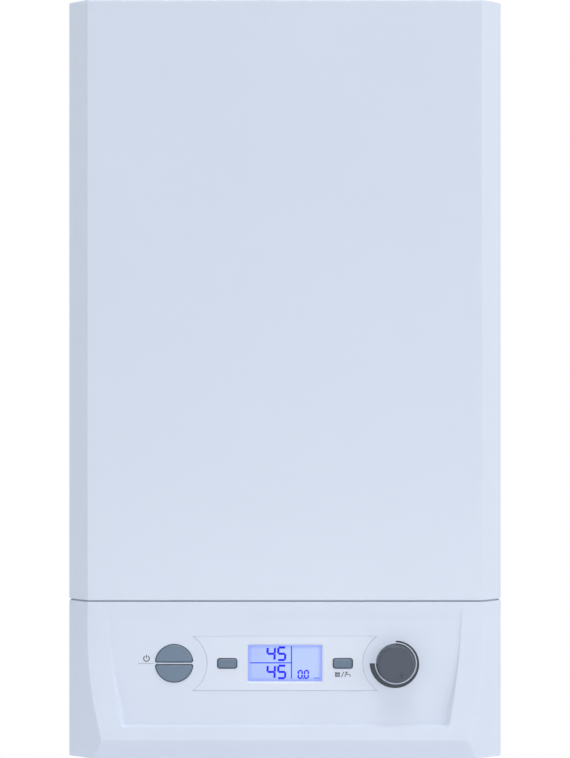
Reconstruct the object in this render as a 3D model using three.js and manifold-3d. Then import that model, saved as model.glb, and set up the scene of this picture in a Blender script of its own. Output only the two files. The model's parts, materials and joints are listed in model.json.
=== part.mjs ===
// A wall-hung condensing combi boiler: painted casing, swing-down control panel, and the burner, water and
// gas parts that it holds. Millimetres, +Z up. The origin is on the wall, at the middle of the hanging
// bracket; the wall is the plane Y = 0 and the front of the boiler faces -Y.
import * as THREE from "three";
import { mergeVertices } from "three/addons/utils/BufferGeometryUtils.js";
import Module from "manifold-3d";

const wasm = await Module();
wasm.setup();

// ---- Casing sizes
const caseWidth = 424;
const caseHeight = 740;
const coverDepth = 324; // wall to the flat front of the cover
const caseTop = 58; // above the bracket's middle
const sheet = 1.2;
const seat = 0.3; // gap left between pieces that rest on each other
const panelHeight = 153.1; // control panel, from the casing's bottom edge
const panelSeam = 1.6; // visible line between cover and control panel
const chamferWidth = 19.5;
const chamferDepth = 28;
const coverReturn = 29; // side wall of the cover behind its chamfer
const coverBend = 2.4; // outside radius of the folded edges
const flangeWidth = 13; // folded-in edges that face each other round the front opening
const gasketThickness = 2.9;
const frameStandOff = 12; // wall to the back plate
const railDepth = 21.8; // cross rail behind the cover's lower edge
const railHeight = 19;
const tongueInset = 27; // casing's side to the end of the cover's tongue
const coverPinRadius = 3;
const coverPinSpan = 300;
const coverPinDrop = 8;
const screwSpan = 240;
const screwRadius = 2.5;
const screwHeadRadius = 5.5;
const screwHeadHeight = 1.2;

// ---- Wall bracket and hook rail
const bracketWidth = 300;
const bracketHeight = 40;
const bracketSheet = 2;
const bracketStep = 6; // how far the bracket's hook stands off its wall leaf
const bracketHoleSpan = 220;
const bracketHoleRadius = 5;
const hookRailWidth = 260;
const hookRailSheet = 1.6;

// ---- Control panel sizes
const bulge = 14; // how far the panel's lower rim stands in front of the cover
const bulgeNarrowing = 14.8; // how far the front narrows on each side at that rim
const rimHeight = 19.2; // slanted band below the rim
const rimSlant = 16;
const rimNarrowing = 5.5; // how far the front narrows at the panel's bottom edge
const bulgeStartDrop = 32.4; // panel's top edge to where the bulge starts
const fasciaWall = 3;
const fasciaFloor = 3.5;
const dishTopDrop = 5.6; // panel's top edge to where the dish starts
const dishHeight = 115.5;
const dishHalfTop = 172.2;
const dishNarrowing = 12.8;
const dishSink = 1.2; // dish floor behind the cover's front plane
const dishCorner = 4;
const dishDraft = 0.35; // sideways run of the dish wall per depth
const dishSillDraft = 0.1;
const dishRamp = 5; // run of the shallow slope at the dish's top, per depth
const controlDrop = 60.1; // panel's top edge to the middle line of the controls
const controlOffset = 108; // middle of the panel to the round buttons and to the knob
const controlGap = 0.5;
const bezelTip = 90;
const bezelHalfHeight = 26.5;
const bezelThickness = 2;
const windowWidth = 73;
const windowHeight = 36;
const windowThickness = 1.5;
const windowInset = 0.6;
const windowLedge = 0.5;
const roundButtonRadius = 18.3;
const roundButtonBar = 0.9; // half the bar between the two half-round buttons
const roundButtonCorner = 2;
const smallButtonOffset = 56.3;
const smallButtonWidth = 19;
const smallButtonHeight = 10.2;
const smallButtonCorner = 2.4;
const buttonProud = 1.2;
const buttonTravel = 1;
const buttonLip = 1.2;
const plungerRadius = 2.5;
const knobRadius = 18.7;
const knobHeight = 13;
const knobLift = 0.6;
const shaftRadius = 3;
const scaleInner = 20.6;
const scaleThin = 1.1;
const scaleThick = 5.1;
const scaleThickness = 0.8;
const scaleSweep = (270 * Math.PI) / 180;

// ---- Control box behind the panel, and its hinge
const boxInset = 26; // casing's side to the box's side
const boxRear = 256; // wall to the rear wall of the box
const boxWall = 2.5;
const boxTopDrop = 5.5;
const boxBottomRise = 5.5;
const boardThickness = 1.6;
const displayBoardBack = 306.7;
const displayBoardWidth = 290;
const displayBoardHeight = 70;
const mainBoardBack = 272;
const mainBoardWidth = 280;
const mainBoardHeight = 112;
const hingeBack = 250; // wall to the hinge axis
const hingeRise = 10; // casing's bottom to the hinge axis
const hingePinRadius = 3;
const hingeClearance = 0.2;
const earThickness = 6;
const glandOffset = 95;
const glandRise = 27;
const glandRadius = 8;

// ---- Top: flue
const flueBack = 150;
const flueRadius = 30;
const airRadius = 50;
const tubeWall = 1.6;
const collarRise = 30;
const collarFlange = 64;

// ---- Upper part: burner, fan and gas
const vesselRadius = 178;
const vesselDepth = 84;
const vesselDrop = 0.342 * caseHeight; // casing's top to the vessel's middle
const vesselWall = 1.5;
const vesselPortRadius = 8;
const vesselPortBore = 4;
const vesselSeam = 4;
const vesselPortX = -60;
const hoseBack = 55;
const hoseRadius = 6;
const hangerWidth = 120;
const hangerSheet = 1.5;
const hangerLeg = 34;
const hangerRise = 12; // above the vessel
const hangerLap = 120; // down the exchanger's back
const exchangerX = -50;
const exchangerDrop = 0.3216 * caseHeight;
const exchangerHalfWidth = 100;
const exchangerHalfHeight = 110;
const exchangerCorner = 62;
const exchangerBack = 104.3;
const exchangerDepth = 128;
const boreRadius = 84;
const flowX = -112;
const returnX = 12;
const waterBack = 150;
const sumpX = -50;
const sumpBack = 200;
const portDrop = 8; // how far the exchanger's ports stand below it
const doorRadius = 98;
const doorThickness = 11;
const burnerRadius = 34;
const burnerLength = 88;
const electrodeSpread = 44;
const electrodeLift = 22;
const fanX = 0.3019 * caseWidth;
const fanDrop = 0.2 * caseHeight;
const fanBack = 190;
const fanDepth = 50;
const fanWall = 3;
const voluteStart = 54;
const voluteEnd = 74;
const outletReach = 62;
const outletLow = 30;
const fanInlet = 24;
const fanShaft = 4;
const impellerRadius = 47;
const impellerBlades = 8;
const motorRadius = 38;
const motorLength = 40;
const manifoldRadius = 21;
const manifoldBend = 32;
const manifoldFront = 285;
const venturiRadius = 25;
const venturiBack = 145;
const venturiLength = 112;
const gasValveX = fanX;
const gasValveBack = 165;
const gasValveDepth = 60;
const gasValveHeight = 85;
const gasValveDrop = 0.4095 * caseHeight; // casing's top to the valve's top
const gasLine = 7.5;
const gasCrossGap = 18; // pump's top to the gas line's run across

// ---- Lower part: water side
const tailX = [-130, -65, 0, 65, 130]; // flow, hot water, gas, cold water, return
const tailBack = 130;
const tailRadius = 13;
const tailBore = 8;
const tailDrop = 25; // below the casing
const tailCollar = 20;
const tailHoleClearance = 4;
const blockRise = 70; // casing's bottom to the underside of the water blocks
const blockHeight = 60;
const blockInner = 48;
const blockOuter = 152;
const blockBack = 85;
const blockDepth = 80;
const platesWidth = 190;
const platesHeight = 45;
const platesBack = 110;
const platesDepth = 72;
const plateCount = 5;
const pumpX = 142;
const pumpRise = 0.2892 * caseHeight;
const pumpRadius = 40;
const pumpInletLap = 8.3; // inlet's end inside the pump's scroll
const pumpBack = 110;
const pumpDepth = 45;
const pumpMotorRadius = 41;
const pumpMotorLength = 77;
const waterLine = 9;
const returnBack = 132;
const returnRise = 80; // pump's middle to the return pipe's slant
const returnSlant = 30;
const trapInset = 40; // casing's left side to the trap's middle
const trapBack = 200;
const trapRadius = 27;
const trapRise = 0.246 * caseHeight;
const trapHeight = 100;
const trapOutlet = 10;
const trapDrop = 15;
const diverterX = -112;
const sensorX = -68;
const safetyX = 84;
const fillX = 97.5;
const fillStem = 4.5;
const grommetX = -97.5;
const grommetBack = 60;
const grommetRadius = 9;

// ---- Places worked out from the sizes
const half = caseWidth / 2;
const caseBottom = caseTop - caseHeight;
const panelTop = caseBottom + panelHeight;
const coverBottom = panelTop + panelSeam;
const tongueWidth = caseWidth - 2 * tongueInset;
const shoulder = coverDepth - chamferDepth; // wall to the cover's side edges
const coverRear = shoulder - coverReturn;
const frameFront = coverRear - gasketThickness - 2 * seat; // wall to the front flanges of the sides
const controlZ = panelTop - controlDrop;
const exchangerZ = caseTop - exchangerDrop;
const exchangerFront = exchangerBack + exchangerDepth;
const exchangerTop = exchangerZ + exchangerHalfHeight;
const exchangerLow = exchangerZ - exchangerHalfHeight;
const fluePipeRadius = flueRadius - tubeWall - seat;
const doorBack = exchangerFront + seat;
const doorFront = doorBack + doorThickness;
const electrodeZ = exchangerZ + electrodeLift;
const fanZ = caseTop - fanDrop;
const fanFront = fanBack + fanDepth;
const outletZ = fanZ + (voluteEnd + outletLow) / 2;
const gasValveTop = caseTop - gasValveDrop;
const gasValveY = -gasValveBack - gasValveDepth / 2;
const vesselZ = caseTop - vesselDrop;
const vesselBack = frameStandOff + sheet + seat;
const vesselPortZ = vesselZ - Math.sqrt(vesselRadius ** 2 - vesselPortX ** 2) - 10;
const hingeZ = caseBottom + hingeRise;
const blockBottom = caseBottom + blockRise;
const blockTop = blockBottom + blockHeight;
const tailEnd = caseBottom - tailDrop;
const bottomPlateZ = caseBottom + 4;
const blockMiddle = (blockBottom + blockTop) / 2;
const blockFront = blockBack + blockDepth;
const collarZ = bottomPlateZ + sheet + seat;
const pumpZ = caseBottom + pumpRise;
const boxHalfWidth = half - boxInset;
const boxTop = panelTop - boxTopDrop;
const boxBottom = caseBottom + boxBottomRise;
const floorFront = coverDepth - dishSink; // dish floor's visible face
const floorBack = floorFront - fasciaFloor;
const trapTop = caseBottom + trapRise + trapHeight;
const trapX = trapInset - half;

// ---- Finishes
function finish(color, roughness, metalness) {
  return new THREE.MeshStandardMaterial({ color, roughness, metalness });
}
const whitePaint = finish(0xe4e9f1, 0.3, 0);
const whitePlastic = finish(0xe2e7f0, 0.35, 0);
const zinc = finish(0xb4b8bb, 0.42, 0.85);
const stainless = finish(0xc4c7c9, 0.3, 0.9);
const aluminium = finish(0xaeb2b5, 0.5, 0.8);
const brass = finish(0xb89a5a, 0.4, 0.85);
const copper = finish(0xb87350, 0.35, 0.9);
const redPaint = finish(0xa32a22, 0.45, 0);
const buttonGrey = finish(0x74869b, 0.5, 0);
const slate = finish(0x555d69, 0.45, 0);
const darkGrey = finish(0x3a3f4b, 0.5, 0);
const blackPlastic = finish(0x202224, 0.55, 0);
const rubber = finish(0x2b2c2e, 0.85, 0);
const greyPlastic = finish(0x8d9399, 0.5, 0);
const composite = finish(0x45484b, 0.6, 0);
const paleGrey = finish(0xcfd3d6, 0.5, 0);
const boardGreen = finish(0x1f5a38, 0.5, 0);
const displayBlue = finish(0xbcc7ff, 0.3, 0);
const clear = new THREE.MeshStandardMaterial({ color: 0xe8eefc, roughness: 0.05, transparent: true, opacity: 0.3 });
const ceramic = finish(0xe9e6dc, 0.4, 0);
const redPlastic = finish(0xb8261f, 0.45, 0);
const bluePlastic = finish(0x2b5ea8, 0.45, 0);

// ---- Solids: joining and cutting closed geometries
function solidOf(geometry) {
  const bare = geometry.index ? geometry.toNonIndexed() : geometry.clone();
  bare.deleteAttribute("normal");
  bare.deleteAttribute("uv");
  const merged = mergeVertices(bare, 1e-4);
  const point = merged.attributes.position;
  const triangles = [];
  let sixVolumes = 0;
  for (let i = 0; i < merged.index.count; i += 3) {
    const corner = [0, 1, 2].map((k) => merged.index.getX(i + k));
    if (corner[0] === corner[1] || corner[1] === corner[2] || corner[0] === corner[2]) continue;
    const [a, b, c] = corner.map((k) => new THREE.Vector3().fromBufferAttribute(point, k));
    sixVolumes += a.dot(b.cross(c));
    triangles.push(corner);
  }
  if (sixVolumes < 0) triangles.forEach((corner) => corner.reverse());
  const triVerts = new Uint32Array(triangles.flat());
  return new wasm.Manifold(new wasm.Mesh({ numProp: 3, vertProperties: point.array, triVerts }));
}

function geometryOf(solid) {
  const mesh = solid.getMesh();
  return new THREE.BufferGeometry()
    .setAttribute("position", new THREE.BufferAttribute(mesh.vertProperties, 3))
    .setIndex(new THREE.BufferAttribute(mesh.triVerts, 1));
}

function join(...geometries) {
  return geometryOf(geometries.map(solidOf).reduce((all, next) => all.add(next)));
}

function cut(geometry, ...tools) {
  return geometryOf(tools.map(solidOf).reduce((all, next) => all.subtract(next), solidOf(geometry)));
}

function common(first, second) {
  return geometryOf(solidOf(first).intersect(solidOf(second)));
}

// ---- Outlines
const point2 = (x, y) => new THREE.Vector2(x, y);

// An open outline moved to its left by a distance, corners mitred.
function offsetLine(points, distance) {
  const along = points.slice(1).map((p, i) => p.clone().sub(points[i]).normalize());
  return points.map((p, i) => {
    const before = along[Math.max(i - 1, 0)];
    const after = along[Math.min(i, along.length - 1)];
    const left = point2(-before.y - after.y, before.x + after.x).normalize();
    const share = left.dot(point2(-after.y, after.x));
    return p.clone().addScaledVector(left, distance / share);
  });
}

// The same outline with each inner corner turned on a radius.
function roundedLine(points, radius, steps = 2) {
  const line = [points[0]];
  for (let i = 1; i < points.length - 1; i++) {
    const back = points[i - 1].clone().sub(points[i]).normalize();
    const ahead = points[i + 1].clone().sub(points[i]).normalize();
    const halfAngle = Math.acos(THREE.MathUtils.clamp(back.dot(ahead), -1, 1)) / 2;
    const reach = radius / Math.tan(halfAngle);
    const middle = back.clone().add(ahead).normalize();
    const centre = points[i].clone().addScaledVector(middle, radius / Math.sin(halfAngle));
    const from = points[i].clone().addScaledVector(back, reach).sub(centre);
    const to = points[i].clone().addScaledVector(ahead, reach).sub(centre);
    const turn = Math.atan2(from.cross(to), from.dot(to));
    for (let k = 0; k <= steps; k++) {
      line.push(from.clone().rotateAround(point2(0, 0), (turn * k) / steps).add(centre));
    }
  }
  line.push(points.at(-1));
  return line;
}

// Folded sheet seen from its edge: an outline and the same outline one thickness to its left.
function stripShape(points, thickness) {
  return new THREE.Shape([...points, ...offsetLine(points, thickness).reverse()]);
}

function roundedRectangle(width, height, radius) {
  const x = width / 2 - radius;
  const y = height / 2 - radius;
  const turn = Math.PI / 2;
  return new THREE.Shape()
    .absarc(x, y, radius, 0, turn)
    .absarc(-x, y, radius, turn, 2 * turn)
    .absarc(-x, -y, radius, 2 * turn, 3 * turn)
    .absarc(x, -y, radius, 3 * turn, 4 * turn);
}

function circleHole(x, y, radius) {
  return new THREE.Path().absarc(x, y, radius, 0, 2 * Math.PI, true);
}

// ---- Forms
function extrude(shape, depth, curveSegments = 2) {
  return new THREE.ExtrudeGeometry(shape, { depth, curveSegments, bevelEnabled: false });
}

// A shape in X and Y, standing up from a height.
function planPlate(shape, bottom, height, segments) {
  return extrude(shape, height, segments).translate(0, 0, bottom);
}

// A shape in X and Z, from a distance off the wall towards the front.
function frontPlate(shape, back, depth, segments) {
  return extrude(shape, depth, segments).rotateX(Math.PI / 2).translate(0, -back, 0);
}

// A profile in Y and Z, carried along X and centred on it.
function crossPiece(shape, width, segments) {
  const basis = new THREE.Matrix4().makeBasis(
    new THREE.Vector3(0, 1, 0),
    new THREE.Vector3(0, 0, 1),
    new THREE.Vector3(1, 0, 0),
  );
  return extrude(shape, width, segments).applyMatrix4(basis).translate(-width / 2, 0, 0);
}

// A box between two corners.
function block(x0, x1, y0, y1, z0, z1) {
  return new THREE.BoxGeometry(x1 - x0, y1 - y0, z1 - z0).translate((x0 + x1) / 2, (y0 + y1) / 2, (z0 + z1) / 2);
}

const directions = {
  up: new THREE.Vector3(0, 0, 1),
  down: new THREE.Vector3(0, 0, -1),
  forward: new THREE.Vector3(0, -1, 0),
  back: new THREE.Vector3(0, 1, 0),
  left: new THREE.Vector3(-1, 0, 0),
  right: new THREE.Vector3(1, 0, 0),
};

function aimed(geometry, direction, at) {
  const turn = new THREE.Quaternion().setFromUnitVectors(new THREE.Vector3(0, 1, 0), directions[direction]);
  return geometry.applyQuaternion(turn).translate(...at);
}

// A turned form: radius and height pairs, the heights measured from a point in a direction.
function turned(profile, direction, at = [0, 0, 0], sides = 24) {
  return aimed(new THREE.LatheGeometry(profile.map(([r, h]) => point2(r, h)), sides), direction, at);
}

function rod(radius, length, direction, at = [0, 0, 0], sides = 20) {
  return aimed(new THREE.CylinderGeometry(radius, radius, length, sides).translate(0, length / 2, 0), direction, at);
}

// A solid between outlines of equal point count: each outline is a list of Vector3.
function loft(outlines) {
  const count = outlines[0].length;
  const position = outlines.flat().flatMap((p) => p.toArray());
  const index = [];
  for (let k = 0; k + 1 < outlines.length; k++) {
    for (let i = 0; i < count; i++) {
      const a = k * count + i;
      const b = k * count + ((i + 1) % count);
      index.push(a, b, b + count, a, b + count, a + count);
    }
  }
  const flat = (outline) => {
    const [, second, third] = outline;
    const normal = second.clone().sub(outline[0]).cross(third.clone().sub(outline[0]));
    const standing = Math.abs(normal.y) > Math.abs(normal.z);
    return outline.map((p) => point2(p.x, standing ? p.z : p.y));
  };
  const first = flat(outlines[0]);
  const lid = THREE.ShapeUtils.triangulateShape(first, []);
  const last = (outlines.length - 1) * count;
  const anticlockwise = THREE.ShapeUtils.area(first) > 0;
  lid.forEach(([a, b, c]) => index.push(c, b, a, a + last, b + last, c + last));
  if (!anticlockwise) for (let i = 0; i < 6 * count * (outlines.length - 1); i += 3) {
    [index[i], index[i + 2]] = [index[i + 2], index[i]];
  }
  return new THREE.BufferGeometry()
    .setAttribute("position", new THREE.Float32BufferAttribute(position, 3))
    .setIndex(index);
}

// A pipe's centre line: straight runs between corners, each corner turned on a bend.
class PipeRun extends THREE.Curve {
  constructor(corners, bend, steps) {
    super();
    const points = corners.map((c) => new THREE.Vector3(...c));
    const heading = points.slice(1).map((p, i) => p.clone().sub(points[i]).normalize());
    this.stations = [{ point: points[0], tangent: heading[0] }];
    for (let i = 1; i < points.length - 1; i++) {
      const angle = heading[i - 1].angleTo(heading[i]);
      const reach = bend * Math.tan(angle / 2);
      const start = points[i].clone().addScaledVector(heading[i - 1], -reach);
      const inward = heading[i].clone().addScaledVector(heading[i - 1], -Math.cos(angle)).normalize();
      const count = Math.max(2, Math.round((steps * angle) / (Math.PI / 2)));
      for (let k = 0; k <= count; k++) {
        const turn = (angle * k) / count;
        const point = start.clone().addScaledVector(heading[i - 1], bend * Math.sin(turn));
        point.addScaledVector(inward, bend * (1 - Math.cos(turn)));
        const tangent = heading[i - 1].clone().multiplyScalar(Math.cos(turn)).addScaledVector(inward, Math.sin(turn));
        this.stations.push({ point, tangent });
      }
    }
    this.stations.push({ point: points.at(-1), tangent: heading.at(-1) });
  }

  station(share) {
    return this.stations[Math.round(share * (this.stations.length - 1))];
  }

  getPointAt(share) {
    return this.station(share).point.clone();
  }

  getTangentAt(share) {
    return this.station(share).tangent.clone();
  }
}

function pipe(corners, radius, bend, sides = 12, steps = 5) {
  const run = new PipeRun(corners, bend, steps);
  const section = new THREE.Shape(
    Array.from({ length: sides }, (_, i) => {
      const angle = (2 * Math.PI * i) / sides;
      return point2(radius * Math.cos(angle), radius * Math.sin(angle));
    }),
  );
  return new THREE.ExtrudeGeometry(section, { steps: run.stations.length - 1, extrudePath: run });
}

function ring(count, radius, each) {
  return Array.from({ length: count }, (_, i) => {
    const angle = (2 * Math.PI * (i + 0.5)) / count;
    return each(radius * Math.cos(angle), radius * Math.sin(angle), angle);
  });
}

// ---- Putting the model together
const boiler = new THREE.Group();
boiler.name = "combi_boiler";

function assembly(name, parent = boiler) {
  const group = new THREE.Group();
  group.name = name;
  parent.add(group);
  return group;
}

const casing = assembly("casing");
const cover = assembly("cover");
const panel = assembly("panel");
const burnerSide = assembly("burner_side");
const waterSide = assembly("water_side");

function piece(parent, name, geometry, material, at = [0, 0, 0]) {
  const mesh = new THREE.Mesh(join(geometry), material);
  mesh.name = name;
  mesh.position.set(...at);
  parent.add(mesh);
  return mesh;
}

// ---- Casing
// Steel rail screwed to the wall: a wall leaf, a step forward and an upturned hook.
function wallBracket() {
  const low = -bracketHeight / 2;
  const stepZ = 9;
  const hookTop = bracketHeight / 2 + 3.9;
  const line = [point2(0, low), point2(0, stepZ), point2(-bracketStep, stepZ), point2(-bracketStep, hookTop)];
  const rail = crossPiece(stripShape(line, bracketSheet), bracketWidth);
  const holes = [-1, 1].map((side) =>
    rod(bracketHoleRadius, 3 * bracketSheet, "forward", [(side * bracketHoleSpan) / 2, bracketSheet, low / 2], 12),
  );
  return cut(rail, ...holes);
}

// Folded rail on the back plate whose lip drops behind the bracket's hook.
function hookRail() {
  const shelfUnder = bracketHeight / 2 + 3.9 + seat;
  const lipBack = (bracketSheet + bracketStep) / 2 - hookRailSheet / 2;
  const plateBack = frameStandOff - seat - hookRailSheet;
  const line = [
    point2(-lipBack, shelfUnder - 12),
    point2(-lipBack, shelfUnder + hookRailSheet),
    point2(-plateBack, shelfUnder + hookRailSheet),
    point2(-plateBack, shelfUnder + 18),
  ];
  return crossPiece(stripShape(line, hookRailSheet), hookRailWidth);
}

// Back plate with side flanges that reach the wall and two full-height stiffening channels.
function rearFrame() {
  const side = half - sheet - seat;
  const plate = frameStandOff + sheet;
  const channel = [16, 21, 51, 56].map((inset) => half - inset);
  const channelDepth = 4;
  const right = [point2(side, 0), point2(side, -plate)];
  const folds = channel.map((x, i) => point2(x, i === 0 || i === 3 ? -plate : -plate + channelDepth));
  const mirrored = [...right, ...folds].reverse().map((p) => point2(-p.x, p.y));
  const section = stripShape([...right, ...folds, ...mirrored], -sheet);
  return planPlate(section, caseBottom + seat, caseHeight - sheet - 3 * seat);
}

// Painted side sheet with a folded front flange; the panel's hinge pin stands on a welded block.
function sidePanel(side) {
  const line = [point2(half - flangeWidth - 3, -frameFront), point2(half, -frameFront), point2(half, -0.5)];
  const wall = planPlate(stripShape(line, sheet), caseBottom, caseHeight - sheet - seat);
  const pinBlock = block(half - 7, half - sheet / 2, -hingeBack - 8, -hingeBack + 8, caseBottom + 2, hingeZ + 10);
  const pinReach = half - 6 - (boxHalfWidth - 2);
  const pin = rod(hingePinRadius, pinReach, "left", [half - 6, -hingeBack, hingeZ], 20);
  const right = join(wall, pinBlock, pin);
  return side > 0 ? right : right.scale(-1, 1, 1);
}

// Roof sheet with the flue hole, a front flange and the two pins that carry the cover.
function topPanel() {
  const outline = new THREE.Shape([
    point2(-half, -frameFront),
    point2(half, -frameFront),
    point2(half, -0.5),
    point2(-half, -0.5),
  ]);
  outline.holes.push(circleHole(0, -flueBack, airRadius + 2));
  const roof = planPlate(outline, caseTop - sheet, sheet, 12);
  const flangeHalf = half - flangeWidth - 3 - seat;
  const flangeLow = caseTop - sheet - flangeWidth - 2;
  const flange = block(-flangeHalf, flangeHalf, -frameFront, -frameFront + sheet, flangeLow, caseTop - sheet / 2);
  const pins = [-1, 1].map((side) =>
    rod(coverPinRadius, 12, "forward", [(side * coverPinSpan) / 2, -frameFront + sheet, caseTop - coverPinDrop], 10),
  );
  return join(roof, flange, ...pins);
}

// Floor sheet with a clearance hole for each pipe.
function bottomPlate() {
  const x = half - sheet - seat;
  const front = 236;
  const back = frameStandOff + sheet + seat;
  const outline = new THREE.Shape([point2(-x, -front), point2(x, -front), point2(x, -back), point2(-x, -back)]);
  tailX.forEach((tail) => outline.holes.push(circleHole(tail, -tailBack, tailRadius + tailHoleClearance)));
  outline.holes.push(circleHole(trapX, -trapBack, trapOutlet + 0.6));
  outline.holes.push(circleHole(fillX, -tailBack, fillStem + 1.5));
  outline.holes.push(circleHole(grommetX, -grommetBack, grommetRadius));
  const floor = planPlate(outline, bottomPlateZ, sheet, 5);
  const lip = block(-x + 14, x - 14, -front, -front + sheet, bottomPlateZ, bottomPlateZ + 18);
  return join(floor, lip);
}

// Channel across the casing behind the cover's lower edge, with slots that let the cover screws slide out.
function crossRail() {
  const front = frameFront - sheet - 2 * seat;
  const low = coverBottom + sheet + seat;
  const high = low + railHeight;
  const back = front - railDepth;
  const line = [point2(-back, high), point2(-back, low), point2(-front, low), point2(-front, high)];
  const rail = crossPiece(stripShape(line, -sheet), 2 * (half - sheet - seat));
  const slots = [-1, 1].map((side) => {
    const x = (side * screwSpan) / 2;
    const width = screwRadius + 1;
    return block(x - width, x + width, -front - 1, -front + railDepth / 2 + width, low - 1, low + 13);
  });
  return cut(rail, ...slots);
}

// Foam strip round the front opening, between the frame's flanges and the cover's.
function caseGasket() {
  const low = coverBottom + sheet + 1.2;
  const high = caseTop - sheet - seat;
  const outer = half - sheet - seat;
  const inner = outer - flangeWidth + 2;
  const corners = (x, z0, z1) => [point2(-x, z0), point2(x, z0), point2(x, z1), point2(-x, z1)];
  const outline = new THREE.Shape(corners(outer, low, high));
  outline.holes.push(new THREE.Path(corners(inner, low + 10, high - flangeWidth)));
  const pins = [-1, 1].map((side) =>
    circleHole((side * coverPinSpan) / 2, caseTop - coverPinDrop, coverPinRadius + 0.5),
  );
  outline.holes.push(...pins);
  return frontPlate(outline, frameFront + seat, gasketThickness, 8);
}

// Concentric flue collar: air ring outside, flue tube inside, joined by three webs.
function flueCollar() {
  const rise = collarRise;
  const outer = turned(
    [
      [airRadius, -8],
      [airRadius, seat],
      [collarFlange, seat],
      [collarFlange, seat + 3],
      [airRadius + tubeWall, seat + 3],
      [airRadius + tubeWall, rise],
      [airRadius, rise],
    ].map(([r, h]) => [r, h]).concat([[airRadius - tubeWall, rise], [airRadius - tubeWall, -8], [airRadius, -8]]),
    "up",
    [0, 0, 0],
    22,
  );
  const inner = turned(
    [
      [flueRadius - tubeWall, -24],
      [flueRadius, -24],
      [flueRadius, rise - 4],
      [flueRadius - tubeWall, rise - 4],
      [flueRadius - tubeWall, -24],
    ],
    "up",
    [0, 0, 0],
    16,
  );
  const webs = ring(3, 1, (x, y, angle) =>
    block(flueRadius - 1, airRadius - tubeWall / 2, -0.8, 0.8, -6, 14).rotateZ(angle),
  );
  return join(outer, inner, ...webs);
}

piece(casing, "wall_bracket", wallBracket(), zinc);
piece(casing, "hook_rail", hookRail(), zinc);
piece(casing, "rear_frame", rearFrame(), zinc);
piece(casing, "left_side_panel", sidePanel(-1), whitePaint);
piece(casing, "right_side_panel", sidePanel(1), whitePaint);
piece(casing, "top_panel", topPanel(), whitePaint);
piece(casing, "bottom_plate", bottomPlate(), zinc);
piece(casing, "cross_rail", crossRail(), zinc);
piece(casing, "case_gasket", caseGasket(), rubber);
piece(casing, "flue_collar", flueCollar(), blackPlastic, [0, -flueBack, caseTop]);

// ---- Front cover
// Plan outline of the cover, from its right rear edge round the front to its left rear edge.
function coverLine(rear, front = coverDepth, crease = half - chamferWidth) {
  return [
    point2(half, -rear),
    point2(half, -shoulder),
    point2(crease, -front),
    point2(-crease, -front),
    point2(-half, -shoulder),
    point2(-half, -rear),
  ];
}

// Folded pan: front, two chamfers, side returns with folded-in flanges, a roof and a floor flange with a tongue.
function frontCover() {
  const outerLine = roundedLine(coverLine(coverRear), coverBend);
  const innerLine = offsetLine(outerLine, -sheet);
  innerLine[0].y = -coverRear - sheet;
  innerLine.at(-1).y = -coverRear - sheet;
  const outer = planPlate(new THREE.Shape(outerLine), coverBottom, caseTop - coverBottom);
  const inner = planPlate(new THREE.Shape(innerLine), coverBottom + sheet, caseTop - coverBottom - 2 * sheet);
  const x = half - flangeWidth;
  const opening = block(-x, x, -coverRear - 3, -coverRear + 3, coverBottom + sheet, caseTop - sheet - flangeWidth);
  const tongueBack = frameFront - sheet - 2 * seat - railDepth / 2 - 10;
  const tongue = block(
    -tongueWidth / 2,
    tongueWidth / 2,
    -coverRear - 2,
    -tongueBack,
    coverBottom,
    coverBottom + sheet,
  );
  const pinHoles = [-1, 1].map((side) =>
    rod(coverPinRadius + 0.5, 8, "forward", [(side * coverPinSpan) / 2, -coverRear + 4, caseTop - coverPinDrop], 12),
  );
  const screwHoles = [-1, 1].map((side) =>
    rod(screwRadius + seat, 6, "up", [(side * screwSpan) / 2, -screwBack(), coverBottom - 2], 12),
  );
  return cut(join(cut(outer, inner, opening), tongue), ...pinHoles, ...screwHoles);
}

function screwBack() {
  return frameFront - sheet - 2 * seat - railDepth / 2 + 1;
}

// Flat-head screw, driven up through the cover's tongue into the cross rail.
function coverScrew() {
  return turned(
    [
      [0, -screwHeadHeight],
      [screwHeadRadius - 0.5, -screwHeadHeight],
      [screwHeadRadius, -0.7],
      [screwHeadRadius, 0],
      [screwRadius, 0],
      [screwRadius, 11],
      [0, 12],
    ],
    "up",
    [0, 0, 0],
    8,
  );
}

piece(cover, "front_cover", frontCover(), whitePaint);
const screwZ = coverBottom - (panelSeam - screwHeadHeight) / 4;
piece(cover, "cover_screw_left", coverScrew(), zinc, [-screwSpan / 2, -screwBack(), screwZ]);
piece(cover, "cover_screw_right", coverScrew(), zinc, [screwSpan / 2, -screwBack(), screwZ]);

// ---- Control panel
// How far the panel's front stands before the cover's front plane at a height above the casing's bottom.
function bulgeAt(rise) {
  const start = panelHeight - bulgeStartDrop;
  if (rise < rimHeight) return bulge - rimSlant * (1 - rise / rimHeight);
  const share = Math.max(0, (start - rise) / (start - rimHeight));
  return bulge * share * share;
}

// Half-width of the flat front at the same height.
function creaseAt(rise) {
  const start = panelHeight - bulgeStartDrop;
  const full = half - chamferWidth;
  if (rise < rimHeight) {
    return full - rimNarrowing - ((bulgeNarrowing - rimNarrowing) * rise) / rimHeight;
  }
  const share = Math.max(0, (start - rise) / (start - rimHeight));
  return full - bulgeNarrowing * share * share;
}

function panelSection(rise, inset, rear) {
  const sharp = offsetLine(coverLine(rear, coverDepth + bulgeAt(rise), creaseAt(rise)), -inset);
  const line = inset > 0 ? sharp : roundedLine(sharp, coverBend);
  return line.map((p) => new THREE.Vector3(p.x, p.y, caseBottom + rise));
}

function panelLoft(inset, rear, low, high) {
  const start = panelHeight - bulgeStartDrop;
  const rises = [low, rimHeight];
  for (let k = 1; k <= 6; k++) rises.push(rimHeight + ((start - rimHeight) * k) / 6);
  rises.push(high);
  return loft(rises.map((rise) => panelSection(rise, inset, rear)));
}

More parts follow.
